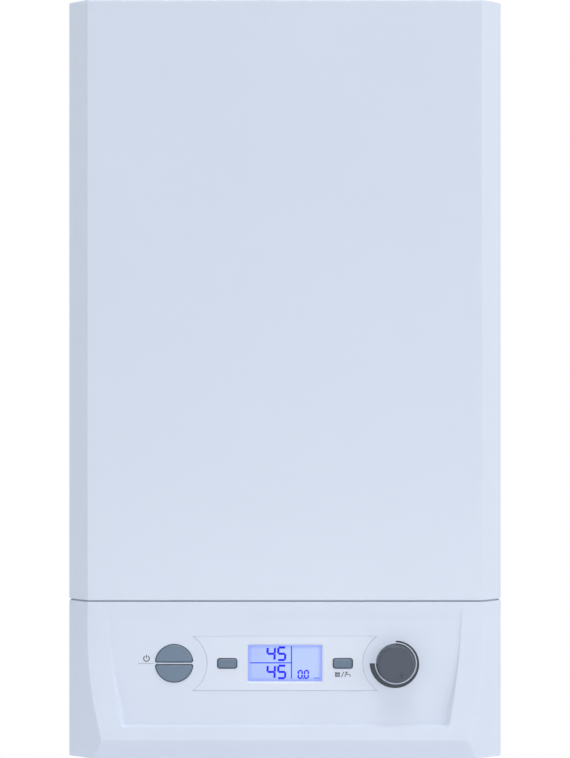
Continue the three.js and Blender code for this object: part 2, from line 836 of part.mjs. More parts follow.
// Outline of the dish at a distance in front of the cover's plane, widened by a margin.
function dishOutline(distance, margin) {
  const topRise = panelHeight - dishTopDrop;
  const bottomRise = topRise - dishHeight;
  const low = bottomRise + dishSillDraft * (bulgeAt(bottomRise) - distance) - margin;
  const high = topRise + dishRamp * distance + margin;
  const halfAt = (rise) => {
    const share = THREE.MathUtils.clamp((topRise - rise) / dishHeight, 0, 1);
    return dishHalfTop - dishNarrowing * share ** 1.75 - dishDraft * (bulgeAt(rise) - distance) + margin;
  };
  const corner = dishCorner + margin;
  const right = [];
  for (let k = 0; k <= 3; k++) {
    const angle = ((k / 3) * Math.PI) / 2;
    right.push(point2(halfAt(low + corner) - corner + corner * Math.sin(angle), low + corner * (1 - Math.cos(angle))));
  }
  for (let k = 1; k <= 8; k++) {
    const rise = low + corner + ((high - low - corner) * k) / 8;
    right.push(point2(halfAt(rise), rise));
  }
  const left = right.map((p) => point2(-p.x, p.y)).reverse();
  return [...right, ...left].map((p) => new THREE.Vector3(p.x, -coverDepth - distance, caseBottom + p.y));
}

function dishSolid(depthIn, margin) {
  return loft([dishOutline(-depthIn, margin), dishOutline(bulge + 4, margin)]);
}

// One of the two half-round buttons, seen from the front; a margin widens it for its hole.
function halfRound(side, margin) {
  const radius = roundButtonRadius + margin;
  const low = roundButtonBar - margin;
  const corner = roundButtonCorner;
  const start = Math.asin((low + corner) / (radius - corner));
  const cornerX = (radius - corner) * Math.cos(start);
  const arc = (x, y, r, from, to, steps) =>
    Array.from({ length: steps + 1 }, (_, k) => {
      const angle = from + ((to - from) * k) / steps;
      return point2(x + r * Math.cos(angle), y + r * Math.sin(angle));
    });
  const points = [
    ...arc(cornerX, low + corner, corner, -Math.PI / 2, start, 4),
    ...arc(0, 0, radius, start, Math.PI - start, 12).slice(1),
    ...arc(-cornerX, low + corner, corner, Math.PI - start, 1.5 * Math.PI, 4).slice(1),
  ];
  return new THREE.Shape(side > 0 ? points : points.map((p) => point2(p.x, -p.y)).reverse());
}

// Plate between the round buttons and the knob: straight top and bottom, a concave arc at each end.
function bezelShape(margin) {
  const radius = Math.hypot(controlOffset - bezelTip, bezelHalfHeight) - margin;
  const height = bezelHalfHeight + margin;
  const angle = Math.asin(height / radius);
  const right = [];
  for (let k = 0; k <= 10; k++) {
    const turn = angle - (2 * angle * k) / 10;
    right.push(point2(controlOffset - radius * Math.cos(turn), radius * Math.sin(turn)));
  }
  return new THREE.Shape([...right, ...right.map((p) => point2(-p.x, p.y)).reverse()]);
}

// Tapering arc round the knob: thin at the top, thick at nine o'clock, growing clockwise.
function scaleShape(margin) {
  const inner = [];
  const outer = [];
  const steps = 22;
  for (let k = 0; k <= steps; k++) {
    const spread = margin / scaleInner;
    const turn = Math.PI / 2 + spread - ((scaleSweep + 2 * spread) * k) / steps;
    const thick = scaleThin + ((scaleThick - scaleThin) * k) / steps;
    inner.push(point2((scaleInner - margin) * Math.cos(turn), (scaleInner - margin) * Math.sin(turn)));
    const far = scaleInner + thick + margin;
    outer.push(point2(far * Math.cos(turn), far * Math.sin(turn)));
  }
  return new THREE.Shape([...outer, ...inner.reverse()]);
}

// A shape on the dish floor, extruded between two distances behind the floor's face.
function floorPlate(shape, x, from, to, segments = 2) {
  return frontPlate(shape, floorFront - to, to - from, segments).translate(x, 0, controlZ);
}

const postX = 152;
const postZ = [caseBottom + 44, caseBottom + 138];
const boardPosts = [-1, 1].flatMap((sx) => [-1, 1].map((sz) => [sx * 137, controlZ + sz * 28]));
const displayBoardFront = displayBoardBack + boardThickness;

function controlFascia() {
  const outer = panelLoft(0, coverRear, 0, panelHeight);
  const inner = panelLoft(fasciaWall, coverRear - 5, fasciaWall, panelHeight - fasciaWall);
  const hollow = cut(inner, dishSolid(dishSink + fasciaFloor, fasciaWall));
  const posts = boardPosts.map(([x, z]) =>
    rod(4, floorBack - displayBoardFront - seat + 1, "forward", [x, -displayBoardFront - seat, z], 8),
  );
  const shell = join(cut(outer, hollow, dishSolid(dishSink, 0)), ...posts);
  const through = fasciaFloor + 1;
  const holes = [
    floorPlate(halfRound(1, controlGap), -controlOffset, -1, through),
    floorPlate(halfRound(-1, controlGap), -controlOffset, -1, through),
    floorPlate(bezelShape(controlGap / 2), 0, -1, bezelThickness),
    floorPlate(roundedRectangle(windowWidth - 2 * windowLedge, windowHeight - 2 * windowLedge, 1), 0, 0, through),
    floorPlate(scaleShape(0.15), controlOffset, -1, scaleThickness),
    rod(shaftRadius + 0.5, 8, "forward", [controlOffset, -floorBack + 2, controlZ], 20),
  ];
  for (const side of [-1, 1]) {
    const hole = roundedRectangle(
      smallButtonWidth + 2 * controlGap,
      smallButtonHeight + 2 * controlGap,
      smallButtonCorner + controlGap,
    );
    holes.push(floorPlate(hole, side * smallButtonOffset, 0, through));
  }
  return cut(shell, ...holes);
}

function displayBezel() {
  const plate = floorPlate(bezelShape(-controlGap / 2), 0, 0, bezelThickness);
  const window = roundedRectangle(windowWidth + 0.3, windowHeight + 0.3, 1.6);
  const holes = [-1, 1].map((side) => {
    const hole = roundedRectangle(
      smallButtonWidth + 2 * controlGap,
      smallButtonHeight + 2 * controlGap,
      smallButtonCorner + controlGap,
    );
    return floorPlate(hole, side * smallButtonOffset, -1, bezelThickness + 1);
  });
  return cut(plate, floorPlate(window, 0, -1, bezelThickness + 1), ...holes);
}

// A button: face proud of the dish floor, body through it, a retaining lip behind and a plunger to its switch.
function pushButton(outline, lip, x, z) {
  const back = floorFront - floorBack + seat;
  const body = floorPlate(outline, x, -buttonProud, back + 0.5);
  const rim = floorPlate(lip, x, back, back + buttonLip, 1);
  const end = displayBoardFront + switchHeight + buttonTravel + seat;
  const plunger = rod(plungerRadius, floorBack - seat - end, "forward", [x, -end, z], 8);
  return join(body, rim, plunger);
}

const switchHeight = 3;
const switchPlaces = [
  [-controlOffset, controlZ + 9],
  [-controlOffset, controlZ - 9],
  [-smallButtonOffset, controlZ],
  [smallButtonOffset, controlZ],
];

function roundButton(side) {
  return pushButton(halfRound(side, 0), halfRound(side, buttonLip - 0.5), -controlOffset, controlZ + side * 9);
}

function smallButton(side) {
  const outline = roundedRectangle(smallButtonWidth, smallButtonHeight, smallButtonCorner);
  const lip = roundedRectangle(smallButtonWidth + 3, smallButtonHeight + 3, smallButtonCorner);
  return pushButton(outline, lip, side * smallButtonOffset, controlZ);
}

// Knob with a bevelled face, a pointer groove and a stem into the encoder; it stands on the Y axis.
const pointerTurn = THREE.MathUtils.degToRad(155);
const encoderHeight = 6.5;
function controlKnob() {
  const stem = floorFront - displayBoardFront - encoderHeight + 3 + knobLift;
  const body = turned(
    [
      [0, -stem],
      [shaftRadius, -stem],
      [shaftRadius, 0],
      [knobRadius, 0],
      [knobRadius, knobHeight - 2.6],
      [knobRadius - 0.5, knobHeight - 1.6],
      [knobRadius - 2.4, knobHeight],
      [0, knobHeight],
    ],
    "forward",
    [0, 0, 0],
    28,
  );
  const groove = block(-0.7, 0.7, -knobHeight - 1, -knobHeight + 0.6, knobRadius - 8.5, knobRadius - 3.6);
  return cut(body, groove.rotateY(pointerTurn));
}

// Rear half of the control housing: a tray screwed to four posts, with the two hinge lugs.
function controlBox() {
  const front = 312;
  const walls = block(-boxHalfWidth, boxHalfWidth, -front, -boxRear, boxBottom, boxTop);
  const x = boxHalfWidth - boxWall;
  const hollow = block(-x, x, -front - 1, -boxRear - boxWall, boxBottom + boxWall, boxTop - boxWall);
  const lugs = [-1, 1].map((side) => {
    const inner = boxHalfWidth - 3;
    const outline = new THREE.Shape()
      .moveTo(-hingeBack - 16, hingeZ - 4.5)
      .lineTo(-hingeBack, hingeZ - 8)
      .absarc(-hingeBack, hingeZ, 8, -Math.PI / 2, Math.PI / 2)
      .lineTo(-hingeBack - 16, hingeZ + 12);
    const x = side > 0 ? inner : -inner - earThickness;
    return crossPiece(outline, earThickness, 4).translate(x + earThickness / 2, 0, 0);
  });
  const posts = [-1, 1].flatMap((side) =>
    postZ.map((z) => rod(5, floorBack - seat - boxRear - 1, "forward", [side * postX, -boxRear - 1, z], 6)),
  );
  const standOffs = [-1, 1].flatMap((sx) =>
    [-1, 1].map((sz) =>
      rod(4, mainBoardBack - seat - boxRear - 1, "forward", [sx * 130, -boxRear - 1, mainBoardZ + sz * 46], 6),
    ),
  );
  const pinHoles = rod(hingePinRadius + hingeClearance, 2 * boxHalfWidth + 30, "right", [
    -boxHalfWidth - 15,
    -hingeBack,
    hingeZ,
  ]);
  const bore = block(-x, x, -hingeBack - 5.5, -hingeBack + 9, hingeZ - 9, hingeZ + 13);
  const glandHole = rod(glandRadius - 1.5, 12, "forward", [glandOffset, -boxRear + 4, caseBottom + glandRise], 16);
  const slots = Array.from({ length: 4 }, (_, i) => {
    const at = -30 + i * 20;
    return block(at - 2.5, at + 2.5, -boxRear - boxWall - 1, -boxRear + 1, boxTop - 34, boxTop - 12);
  });
  return cut(join(cut(walls, hollow), ...lugs.map((lug) => cut(lug, bore)), ...posts, ...standOffs), pinHoles, glandHole, ...slots);
}

// Cable gland in the housing's rear wall: a grooved bush with the cable passing its bore.
function boxGland() {
  const bush = turned(
    [
      [3.5, -4.5],
      [glandRadius, -4.5],
      [glandRadius, -seat],
      [glandRadius - 1.8, -seat],
      [glandRadius - 1.8, boxWall + seat],
      [glandRadius, boxWall + seat],
      [glandRadius, boxWall + 4],
      [3.5, boxWall + 4],
      [3.5, -4.5],
    ],
    "forward",
    [glandOffset, -boxRear, caseBottom + glandRise],
    10,
  );
  return bush;
}

const mainBoardZ = (boxTop + boxBottom) / 2;

// Main circuit board with its relays, transformer, fuse and plug rows.
function mainBoard() {
  const w = mainBoardWidth / 2;
  const h = mainBoardHeight / 2;
  const front = mainBoardBack + boardThickness;
  const part = (x, z, width, height, tall) =>
    block(x - width / 2, x + width / 2, -front - tall, -front + 0.4, mainBoardZ + z - height / 2, mainBoardZ + z + height / 2);
  const plugs = [-120, -92, -64, -36, -8, 20].map((x) => part(x, -h + 9, 20, 11, 12));
  const relays = [70, 92, 114].map((x) => part(x, 30, 16, 26, 15));
  const cans = [[-30, 10, 7], [-12, 10, 7], [-30, 32, 5.5]].map(([x, z, r]) =>
    rod(r, 18, "forward", [x, -front + 0.4, mainBoardZ + z], 10),
  );
  return join(
    block(-w, w, -front, -mainBoardBack, mainBoardZ - h, mainBoardZ + h),
    ...plugs,
    ...relays,
    ...cans,
    part(-95, 22, 44, 38, 24),
    part(98, -12, 22, 10, 10),
    part(30, 8, 26, 26, 2.5),
  );
}

// Display circuit board with four key switches and the knob's encoder.
function displayBoard() {
  const w = displayBoardWidth / 2;
  const h = displayBoardHeight / 2;
  const board = block(-w, w, -displayBoardFront, -displayBoardBack, controlZ - h, controlZ + h);
  const switches = switchPlaces.map(([x, z]) =>
    block(x - 3, x + 3, -displayBoardFront - switchHeight, -displayBoardFront + 0.4, z - 3, z + 3),
  );
  const encoder = block(
    controlOffset - 6.5,
    controlOffset + 6.5,
    -displayBoardFront - encoderHeight,
    -displayBoardFront + 0.4,
    controlZ - 6.5,
    controlZ + 6.5,
  );
  const bore = rod(shaftRadius + 0.3, 8, "forward", [controlOffset, -displayBoardFront - encoderHeight + 3.5, controlZ], 20);
  return cut(join(board, ...switches, encoder), bore);
}

function lcdModule() {
  const back = displayBoardFront + seat;
  const front = floorBack - seat;
  return block(-40, 40, -front, -back, controlZ - 22, controlZ + 22);
}

piece(panel, "control_fascia", controlFascia(), whitePlastic);
piece(panel, "display_bezel", displayBezel(), whitePlastic);
const pane = roundedRectangle(windowWidth, windowHeight, 1.4);
piece(panel, "display_window", floorPlate(pane, 0, windowInset, bezelThickness), clear);
piece(panel, "lcd_module", lcdModule(), displayBlue);
piece(panel, "knob_scale", floorPlate(scaleShape(0), controlOffset, -0.1, scaleThickness), darkGrey);
piece(panel, "power_button", roundButton(1), buttonGrey);
piece(panel, "mode_button", roundButton(-1), buttonGrey);
piece(panel, "reset_button", smallButton(-1), buttonGrey);
piece(panel, "select_button", smallButton(1), buttonGrey);
piece(panel, "control_knob", controlKnob(), slate, [controlOffset, -floorFront - knobLift, controlZ]);
piece(panel, "display_board", displayBoard(), boardGreen);
piece(panel, "main_board", mainBoard(), boardGreen);
piece(panel, "control_box", controlBox(), blackPlastic);
piece(panel, "box_gland", boxGland(), rubber);

// ---- Upper part: burner, fan and gas
// Flat round expansion vessel with a rolled seam, seated on the back plate: a sheet shell with a bored port.
function expansionVessel() {
  const seam = vesselDepth / 2;
  const shell = turned(
    [
      [0, 0],
      [vesselRadius - 20, 0],
      [vesselRadius - 3, 12],
      [vesselRadius, seam - 3],
      [vesselRadius + vesselSeam, seam - 3],
      [vesselRadius + vesselSeam, seam + 3],
      [vesselRadius, seam + 3],
      [vesselRadius - 3, vesselDepth - 12],
      [vesselRadius - 20, vesselDepth],
      [0, vesselDepth],
    ],
    "forward",
    [0, -vesselBack, vesselZ],
    24,
  );
  const inside = vesselRadius - vesselWall;
  const hollow = turned(
    [
      [0, vesselWall],
      [inside - 20, vesselWall],
      [inside - 3, 12 + vesselWall],
      [inside - 3, vesselDepth - 12 - vesselWall],
      [inside - 20, vesselDepth - vesselWall],
      [0, vesselDepth - vesselWall],
    ],
    "forward",
    [0, -vesselBack, vesselZ],
    24,
  );
  const port = rod(vesselPortRadius, 26, "up", [vesselPortX, -hoseBack, vesselPortZ], 12);
  const portBore = rod(vesselPortBore, 40, "up", [vesselPortX, -hoseBack, vesselPortZ - 2], 8);
  return cut(join(shell, port), hollow, portBore);
}

function vesselHose() {
  const low = blockBottom + blockHeight / 2;
  return pipe(
    [
      [vesselPortX, -hoseBack, vesselPortZ - seat],
      [vesselPortX, -hoseBack, low],
      [vesselPortX, -blockBack + seat, low],
    ],
    hoseRadius,
    14,
    6,
    3,
  );
}

// Steel strap from the back plate, over the vessel, down to the heat exchanger's back.
function hangerBracket() {
  const plate = frameStandOff + sheet + seat + hangerSheet;
  const face = exchangerBack - seat;
  const over = vesselZ + vesselRadius + hangerRise;
  const line = [point2(-plate, over + hangerLeg), point2(-plate, over), point2(-face, over), point2(-face, over - hangerLap)];
  return crossPiece(stripShape(line, hangerSheet), hangerWidth).translate(exchangerX, 0, 0);
}

// Heat exchanger body: a rounded block with a bore for the burner, water ports, a drain port and a flue port.
function heatExchanger() {
  const outline = roundedRectangle(2 * exchangerHalfWidth, 2 * exchangerHalfHeight, exchangerCorner);
  const body = frontPlate(outline, exchangerBack, exchangerDepth, 4).translate(exchangerX, 0, exchangerZ);
  const bore = rod(boreRadius, exchangerDepth, "forward", [exchangerX, -exchangerBack - 6, exchangerZ], 20);
  const flue = rod(fluePipeRadius - tubeWall, 60, "up", [0, -flueBack, exchangerTop - 50], 14);
  const ports = [
    rod(15, 26, "up", [flowX, -waterBack, exchangerLow - portDrop], 12),
    rod(15, 26, "up", [returnX, -waterBack, exchangerLow - portDrop], 12),
    rod(12, 20, "up", [sumpX, -sumpBack, exchangerLow - portDrop], 10),
  ];
  return cut(join(body, ...ports), bore, flue);
}

function fluePipe() {
  const top = caseTop - 2 - exchangerTop;
  const profile = [
    [fluePipeRadius - tubeWall, seat],
    [fluePipeRadius + 6, seat],
    [fluePipeRadius + 6, 3],
    [fluePipeRadius, 3],
    [fluePipeRadius, top],
    [fluePipeRadius - tubeWall, top],
    [fluePipeRadius - tubeWall, seat],
  ];
  return turned(profile, "up", [0, -flueBack, exchangerTop], 16);
}

// Burner door: a round cover with a raised middle, six bolts and the hole that the mixture comes in by.
function burnerDoor() {
  const disc = turned(
    [
      [manifoldRadius - 3, 0],
      [doorRadius, 0],
      [doorRadius, 5],
      [doorRadius - 22, 6],
      [doorRadius - 30, doorThickness],
      [manifoldRadius - 3, doorThickness],
      [manifoldRadius - 3, 0],
    ],
    "forward",
    [exchangerX, -doorBack, exchangerZ],
    20,
  );
  const bolts = ring(6, doorRadius - 7, (x, z) =>
    rod(4.5, 9, "forward", [exchangerX + x, -doorBack - 1, exchangerZ + z], 6),
  );
  const holes = [-1, 1].map((side) =>
    rod(4.4, 30, "forward", [exchangerX + side * electrodeSpread, -doorBack + 8, electrodeZ], 10),
  );
  return cut(join(disc, ...bolts), ...holes);
}

// Ceramic insulator through the door, with a metal rod that bends towards the burner.
function electrode(side) {
  const x = exchangerX + side * electrodeSpread;
  const insulator = turned(
    [
      [0, -doorThickness - 5],
      [4, -doorThickness - 5],
      [4, seat],
      [8, seat],
      [8, 3.5],
      [5, 4.5],
      [5, 20],
      [3, 22],
      [0, 22],
    ],
    "forward",
    [x, -doorFront, electrodeZ],
    10,
  );
  const inside = -doorFront + doorThickness;
  const wire = pipe(
    [
      [x, inside + 3, electrodeZ],
      [x, inside + 30, electrodeZ],
      [x - side * 5, inside + 46, electrodeZ],
    ],
    1.2,
    4,
    5,
    2,
  );
  return join(insulator, wire);
}

// Cylindrical burner, open towards the door, with a flange against the door's inner face.
function premixBurner() {
  const profile = [
    [burnerRadius - 3, seat],
    [burnerRadius + 5, seat],
    [burnerRadius + 5, 2.5],
    [burnerRadius, 2.5],
    [burnerRadius, burnerLength - 4],
    [burnerRadius - 4, burnerLength],
    [0, burnerLength],
    [0, burnerLength - 2],
    [burnerRadius - 5, burnerLength - 2],
    [burnerRadius - 3, burnerLength - 5],
    [burnerRadius - 3, seat],
  ];
  return turned(profile, "back", [exchangerX, -doorBack, exchangerZ], 16);
}

// Outline of the fan's scroll: it grows anticlockwise from the cut-off and leaves to the left at the top.
function scrollShape(inset, reach) {
  const low = outletLow + inset;
  const first = Math.PI - Math.asin(low / (voluteStart - inset));
  const last = 2.5 * Math.PI;
  const steps = 20;
  const points = [];
  for (let k = 0; k <= steps; k++) {
    const turn = first + ((last - first) * k) / steps;
    const radius = voluteStart + ((voluteEnd - voluteStart) * k) / steps - inset;
    points.push(point2(radius * Math.cos(turn), radius * Math.sin(turn)));
  }
  return new THREE.Shape([...points, point2(-reach, voluteEnd - inset), point2(-reach, low)]);
}

function fanHousing() {
  const at = (geometry) => geometry.translate(fanX, 0, fanZ);
  const body = at(frontPlate(scrollShape(0, outletReach), fanBack, fanDepth));
  const hollow = at(frontPlate(scrollShape(fanWall, outletReach + 5), fanBack + fanWall, fanDepth - 2 * fanWall));
  const inlet = rod(fanInlet, 10, "forward", [fanX, -fanBack + 4, fanZ], 18);
  const shaftHole = rod(fanShaft + 2, 10, "forward", [fanX, -fanFront + 6, fanZ], 10);
  const feet = ring(4, voluteStart - 2, (x, z) => rod(5, 4, "forward", [fanX + x, -fanFront + 1, fanZ + z], 6));
  return cut(join(body, ...feet), hollow, inlet, shaftHole);
}

// Fan wheel: a disc, a bored hub and straight blades set at a slant; it stands on its own axis.
function fanImpeller() {
  const disc = rod(impellerRadius, 2, "forward", [0, 4, 0], 24);
  const hub = rod(10, 26, "forward", [0, 28, 0], 12);
  const blade = () => block(18, impellerRadius - 1, 3, 32, -1, 1).rotateY(0.5).translate(-3, 0, 6);
  const blades = ring(impellerBlades, 1, (x, z, angle) => blade().rotateY(angle));
  const bore = rod(fanShaft + 0.4, 40, "forward", [0, 34, 0], 10);
  return cut(join(disc, hub, ...blades), bore);
}

// Finned motor on the front of the fan, with its shaft running back into the wheel.
function fanMotor() {
  const profile = [
    [0, 0],
    [motorRadius + 10, 0],
    [motorRadius + 10, 3],
    [motorRadius, 3],
  ];
  for (let i = 0; i < 2; i++) {
    const h = 10 + i * 11;
    profile.push([motorRadius, h], [motorRadius - 3, h], [motorRadius - 3, h + 2.5], [motorRadius, h + 2.5]);
  }
  profile.push([motorRadius, motorLength - 4], [motorRadius - 4, motorLength], [0, motorLength]);
  const body = turned(profile, "forward", [fanX, -fanFront - 3.3, fanZ], 14);
  const shaft = rod(fanShaft, 34, "back", [fanX, -fanFront - 5, fanZ], 10);
  const plug = block(fanX - 12, fanX + 12, -fanFront - 3.3 - motorLength + 8, -fanFront - 14, fanZ - motorRadius - 9, fanZ - motorRadius + 8);
  return join(body, shaft, plug);
}

// Duct that takes the mixture from the fan over the exchanger and down to the burner door.
function mixtureDuct() {
  const y = -(fanBack + fanDepth / 2);
  const duct = pipe(
    [
      [fanX - outletReach - seat, y, outletZ],
      [exchangerX, y, outletZ],
      [exchangerX, -manifoldFront, outletZ],
      [exchangerX, -manifoldFront, exchangerZ],
      [exchangerX, -doorFront - seat, exchangerZ],
    ],
    manifoldRadius,
    manifoldBend,
    10,
    3,
  );
  const startFlange = rod(manifoldRadius + 1, 5, "left", [fanX - outletReach - seat, y, outletZ], 10);
  const endFlange = rod(manifoldRadius + 12, 5, "forward", [exchangerX, -doorFront - seat, exchangerZ], 14);
  return join(duct, startFlange, endFlange);
}

// Mixing tube: flange on the fan's inlet, a bend down and an open mouth.
function venturi() {
  const tube = pipe(
    [
      [fanX, -fanBack + seat, fanZ],
      [fanX, -venturiBack, fanZ],
      [fanX, -venturiBack, fanZ - venturiLength],
    ],
    venturiRadius,
    30,
    12,
    3,
  );
  const flange = rod(venturiRadius + 9, 4, "back", [fanX, -fanBack + seat, fanZ], 12);
  const mouth = turned(
    [
      [0, -40],
      [venturiRadius - 10, -40],
      [venturiRadius - 8, -14],
      [venturiRadius - 2, 1],
      [0, 1],
    ],
    "down",
    [fanX, -venturiBack, fanZ - venturiLength],
    12,
  );
  return cut(join(tube, flange), mouth);
}

// Gas valve: a block with two coils, an adjuster, a plug and flanges above and below.
function gasValve() {
  const low = gasValveTop - gasValveHeight;
  const front = -gasValveBack - gasValveDepth;
  const body = planPlate(roundedRectangle(56, gasValveDepth, 6), low + 6, gasValveHeight - 12, 1)
    .translate(gasValveX, gasValveY, 0);
  const flanges = [low, gasValveTop - 7].map((z) =>
    planPlate(roundedRectangle(38, 44, 10), z, 7, 1).translate(gasValveX, gasValveY, 0),
  );
  const coils = [-14, 14].map((x) => rod(11, 22, "forward", [gasValveX + x, front + 2, gasValveTop - 26], 10));
  const adjuster = rod(8, 10, "forward", [gasValveX - 12, front + 2, low + 22], 8);
  const plug = block(gasValveX + 2, gasValveX + 24, front - 12, front + 2, low + 12, low + 28);
  return join(body, ...flanges, ...coils, adjuster, plug);
}

// Line from the valve's top flange to the side of the mixing tube.
function mixturePipe() {
  const level = fanZ - 90;
  return pipe(
    [
      [gasValveX, gasValveY, gasValveTop + seat],
      [gasValveX, gasValveY, level],
      [gasValveX, -venturiBack - venturiRadius - seat, level],
    ],
    gasLine,
    14,
    7,
    3,
  );
}

// A boiler tail: bored below, with a collar that rests on the floor sheet.
function tail(x, top) {
  return turned(
    [
      [0, tailDrop + 30],
      [tailBore, tailDrop + 30],
      [tailBore, 0],
      [tailRadius, 0],
      [tailRadius, collarZ - tailEnd],
      [tailCollar, collarZ - tailEnd],
      [tailCollar, collarZ - tailEnd + 6],
      [tailRadius, collarZ - tailEnd + 6],
      [tailRadius, top - tailEnd],
      [0, top - tailEnd],
    ],
    "up",
    [x, -tailBack, tailEnd],
    10,
  );
}

// Gas line from its tail, behind the plates and under the vessel, up to the valve.
function gasPipe() {
  const low = caseBottom + 40;
  const cross = pumpZ + pumpRadius + gasCrossGap;
  const run = pipe(
    [
      [tailX[2], -tailBack, low - 2],
      [tailX[2], -tailBack, low + 75],
      [tailX[2], -hoseBack, low + 75],
      [tailX[2], -hoseBack, cross],
      [gasValveX, -hoseBack, cross],
      [gasValveX, gasValveY, cross],
      [gasValveX, gasValveY, gasValveTop - gasValveHeight - seat],
    ],
    gasLine,
    20,
    7,
    2,
  );
  return join(tail(tailX[2], low), run);
}

piece(burnerSide, "expansion_vessel", expansionVessel(), redPaint);
piece(burnerSide, "hanger_bracket", hangerBracket(), zinc);
piece(burnerSide, "heat_exchanger", heatExchanger(), composite);
piece(burnerSide, "flue_pipe", fluePipe(), greyPlastic);
piece(burnerSide, "burner_door", burnerDoor(), aluminium);
piece(burnerSide, "premix_burner", premixBurner(), stainless);
piece(burnerSide, "ignition_electrode", electrode(1), ceramic);
piece(burnerSide, "flame_electrode", electrode(-1), ceramic);
piece(burnerSide, "fan_housing", fanHousing(), aluminium);
piece(burnerSide, "fan_impeller", fanImpeller(), blackPlastic, [fanX, -fanBack - fanDepth / 2 - 14, fanZ]);
piece(burnerSide, "fan_motor", fanMotor(), blackPlastic);
piece(burnerSide, "mixture_duct", mixtureDuct(), aluminium);
piece(burnerSide, "venturi", venturi(), greyPlastic);
piece(burnerSide, "gas_valve", gasValve(), aluminium);
piece(burnerSide, "mixture_pipe", mixturePipe(), aluminium);
piece(burnerSide, "gas_pipe", gasPipe(), copper);

// ---- Lower part: water side
// Cast water block with two tails; side -1 is the flow side, side 1 the return side.
function waterBlock(side) {
  const width = blockOuter - blockInner;
  const middle = (side * (blockOuter + blockInner)) / 2;
  const y = -(blockBack + blockDepth / 2);
  const body = planPlate(roundedRectangle(width, blockDepth, 14), blockBottom + 8, blockHeight - 8, 1).translate(middle, y, 0);
  const rib = block(middle - width / 2 + 10, middle + width / 2 - 10, y - 28, y + 28, blockBottom, blockBottom + 10);
  const places = tailX.filter((x) => x * side > 0);
  const tails = places.map((x) => tail(x, blockBottom + 20));
  const bosses = places.map((x) => rod(18, 16, "up", [x, -tailBack, blockBottom - 10], 8));
  const bodyParts = [body, rib, ...tails, ...bosses];
  if (side > 0) bodyParts.push(rod(fillStem, blockBottom - caseBottom + 4, "down", [fillX, -tailBack, blockBottom + 4], 12));
  return join(...bodyParts);
}

// Brazed plate heat exchanger: a rounded stack with a groove between each pair of plates.
function plateExchanger() {
  const outlines = [];
  const pitch = platesHeight / plateCount;
  const add = (z, inset) => {
    const points = roundedRectangle(platesWidth - 2 * inset, platesDepth - 2 * inset, 18).getPoints(1);
    const y = -(platesBack + platesDepth / 2);
    if (points[0].distanceTo(points.at(-1)) < 1e-6) points.pop();
    outlines.push(points.map((p) => new THREE.Vector3(p.x, y + p.y, z)));
  };
  for (let i = 0; i < plateCount; i++) {
    const low = blockTop + seat + i * pitch;
    if (i === 0) add(low, 1.2);
    add(low + pitch * 0.4, 0);
    add(low + pitch * 0.6, 0);
    add(low + pitch, 1.2);
  }
  return loft(outlines);
}

function pumpHousing() {
  const middle = -(pumpBack + pumpDepth / 2);
  const scroll = rod(pumpRadius, pumpDepth, "forward", [pumpX, -pumpBack, pumpZ], 18);
  const inletLength = pumpZ - pumpRadius + pumpInletLap - blockTop - seat;
  const inlet = rod(14, inletLength, "up", [pumpX - 12, middle, blockTop + seat], 12);
  const nut = rod(18, 12, "up", [pumpX - 12, middle, blockTop + seat], 6);
  const outlet = rod(13, 30, "left", [pumpX - pumpRadius + 20, -returnBack, pumpZ], 12);
  const foot = block(pumpX - 8, pumpX + 20, -pumpBack - 4, -frameStandOff - sheet - seat, pumpZ + 12, pumpZ + 16);
  return join(scroll, inlet, nut, outlet, foot);
}

function pumpMotor() {
  const at = [pumpX, -pumpBack - pumpDepth - seat, pumpZ];
  const profile = [
    [0, 0],
    [pumpMotorRadius, 0],
    [pumpMotorRadius, 8],
    [pumpMotorRadius - 3, 10],
    [pumpMotorRadius - 3, pumpMotorLength - 12],
    [pumpMotorRadius - 8, pumpMotorLength],
    [14, pumpMotorLength],
    [14, pumpMotorLength - 3],
    [0, pumpMotorLength - 3],
  ];
  const body = turned(profile, "forward", at, 18);
  const box = block(pumpX - 20, pumpX + 20, at[1] - 52, at[1] - 14, pumpZ + pumpMotorRadius - 12, pumpZ + pumpMotorRadius + 8);
  return join(body, box);
}

function flowPipe() {
  const line = [
    [flowX, -waterBack, exchangerLow - portDrop - seat],
    [flowX, -waterBack, blockTop + seat],
  ];
  const nuts = [line[0][2] - 12, line[1][2]].map((z) => rod(14, 12, "up", [flowX, -waterBack, z], 6));
  return join(rod(waterLine, line[0][2] - line[1][2], "up", line[1], 14), ...nuts);
}

function returnPipe() {
  const start = pumpX - pumpRadius - 10 - seat;
  const top = exchangerLow - portDrop - seat;
  const run = pipe(
    [
      [start, -returnBack, pumpZ],
      [returnX, -returnBack, pumpZ],
      [returnX, -returnBack, pumpZ + returnRise],
      [returnX, -waterBack, pumpZ + returnRise + returnSlant],
      [returnX, -waterBack, top],
    ],
    waterLine,
    24,
    8,
    3,
  );
  const nuts = [rod(15, 12, "left", [start, -returnBack, pumpZ], 6), rod(15, 12, "down", [returnX, -waterBack, top], 6)];
  return join(run, ...nuts);
}

function condensateHose() {
  const level = exchangerLow - 55;
  return pipe(
    [
      [sumpX, -sumpBack, exchangerLow - portDrop - seat],
      [sumpX, -sumpBack, level],
      [trapX, -trapBack, level],
      [trapX, -trapBack, trapTop + seat],
    ],
    7,
    18,
    7,
    3,
  );
}

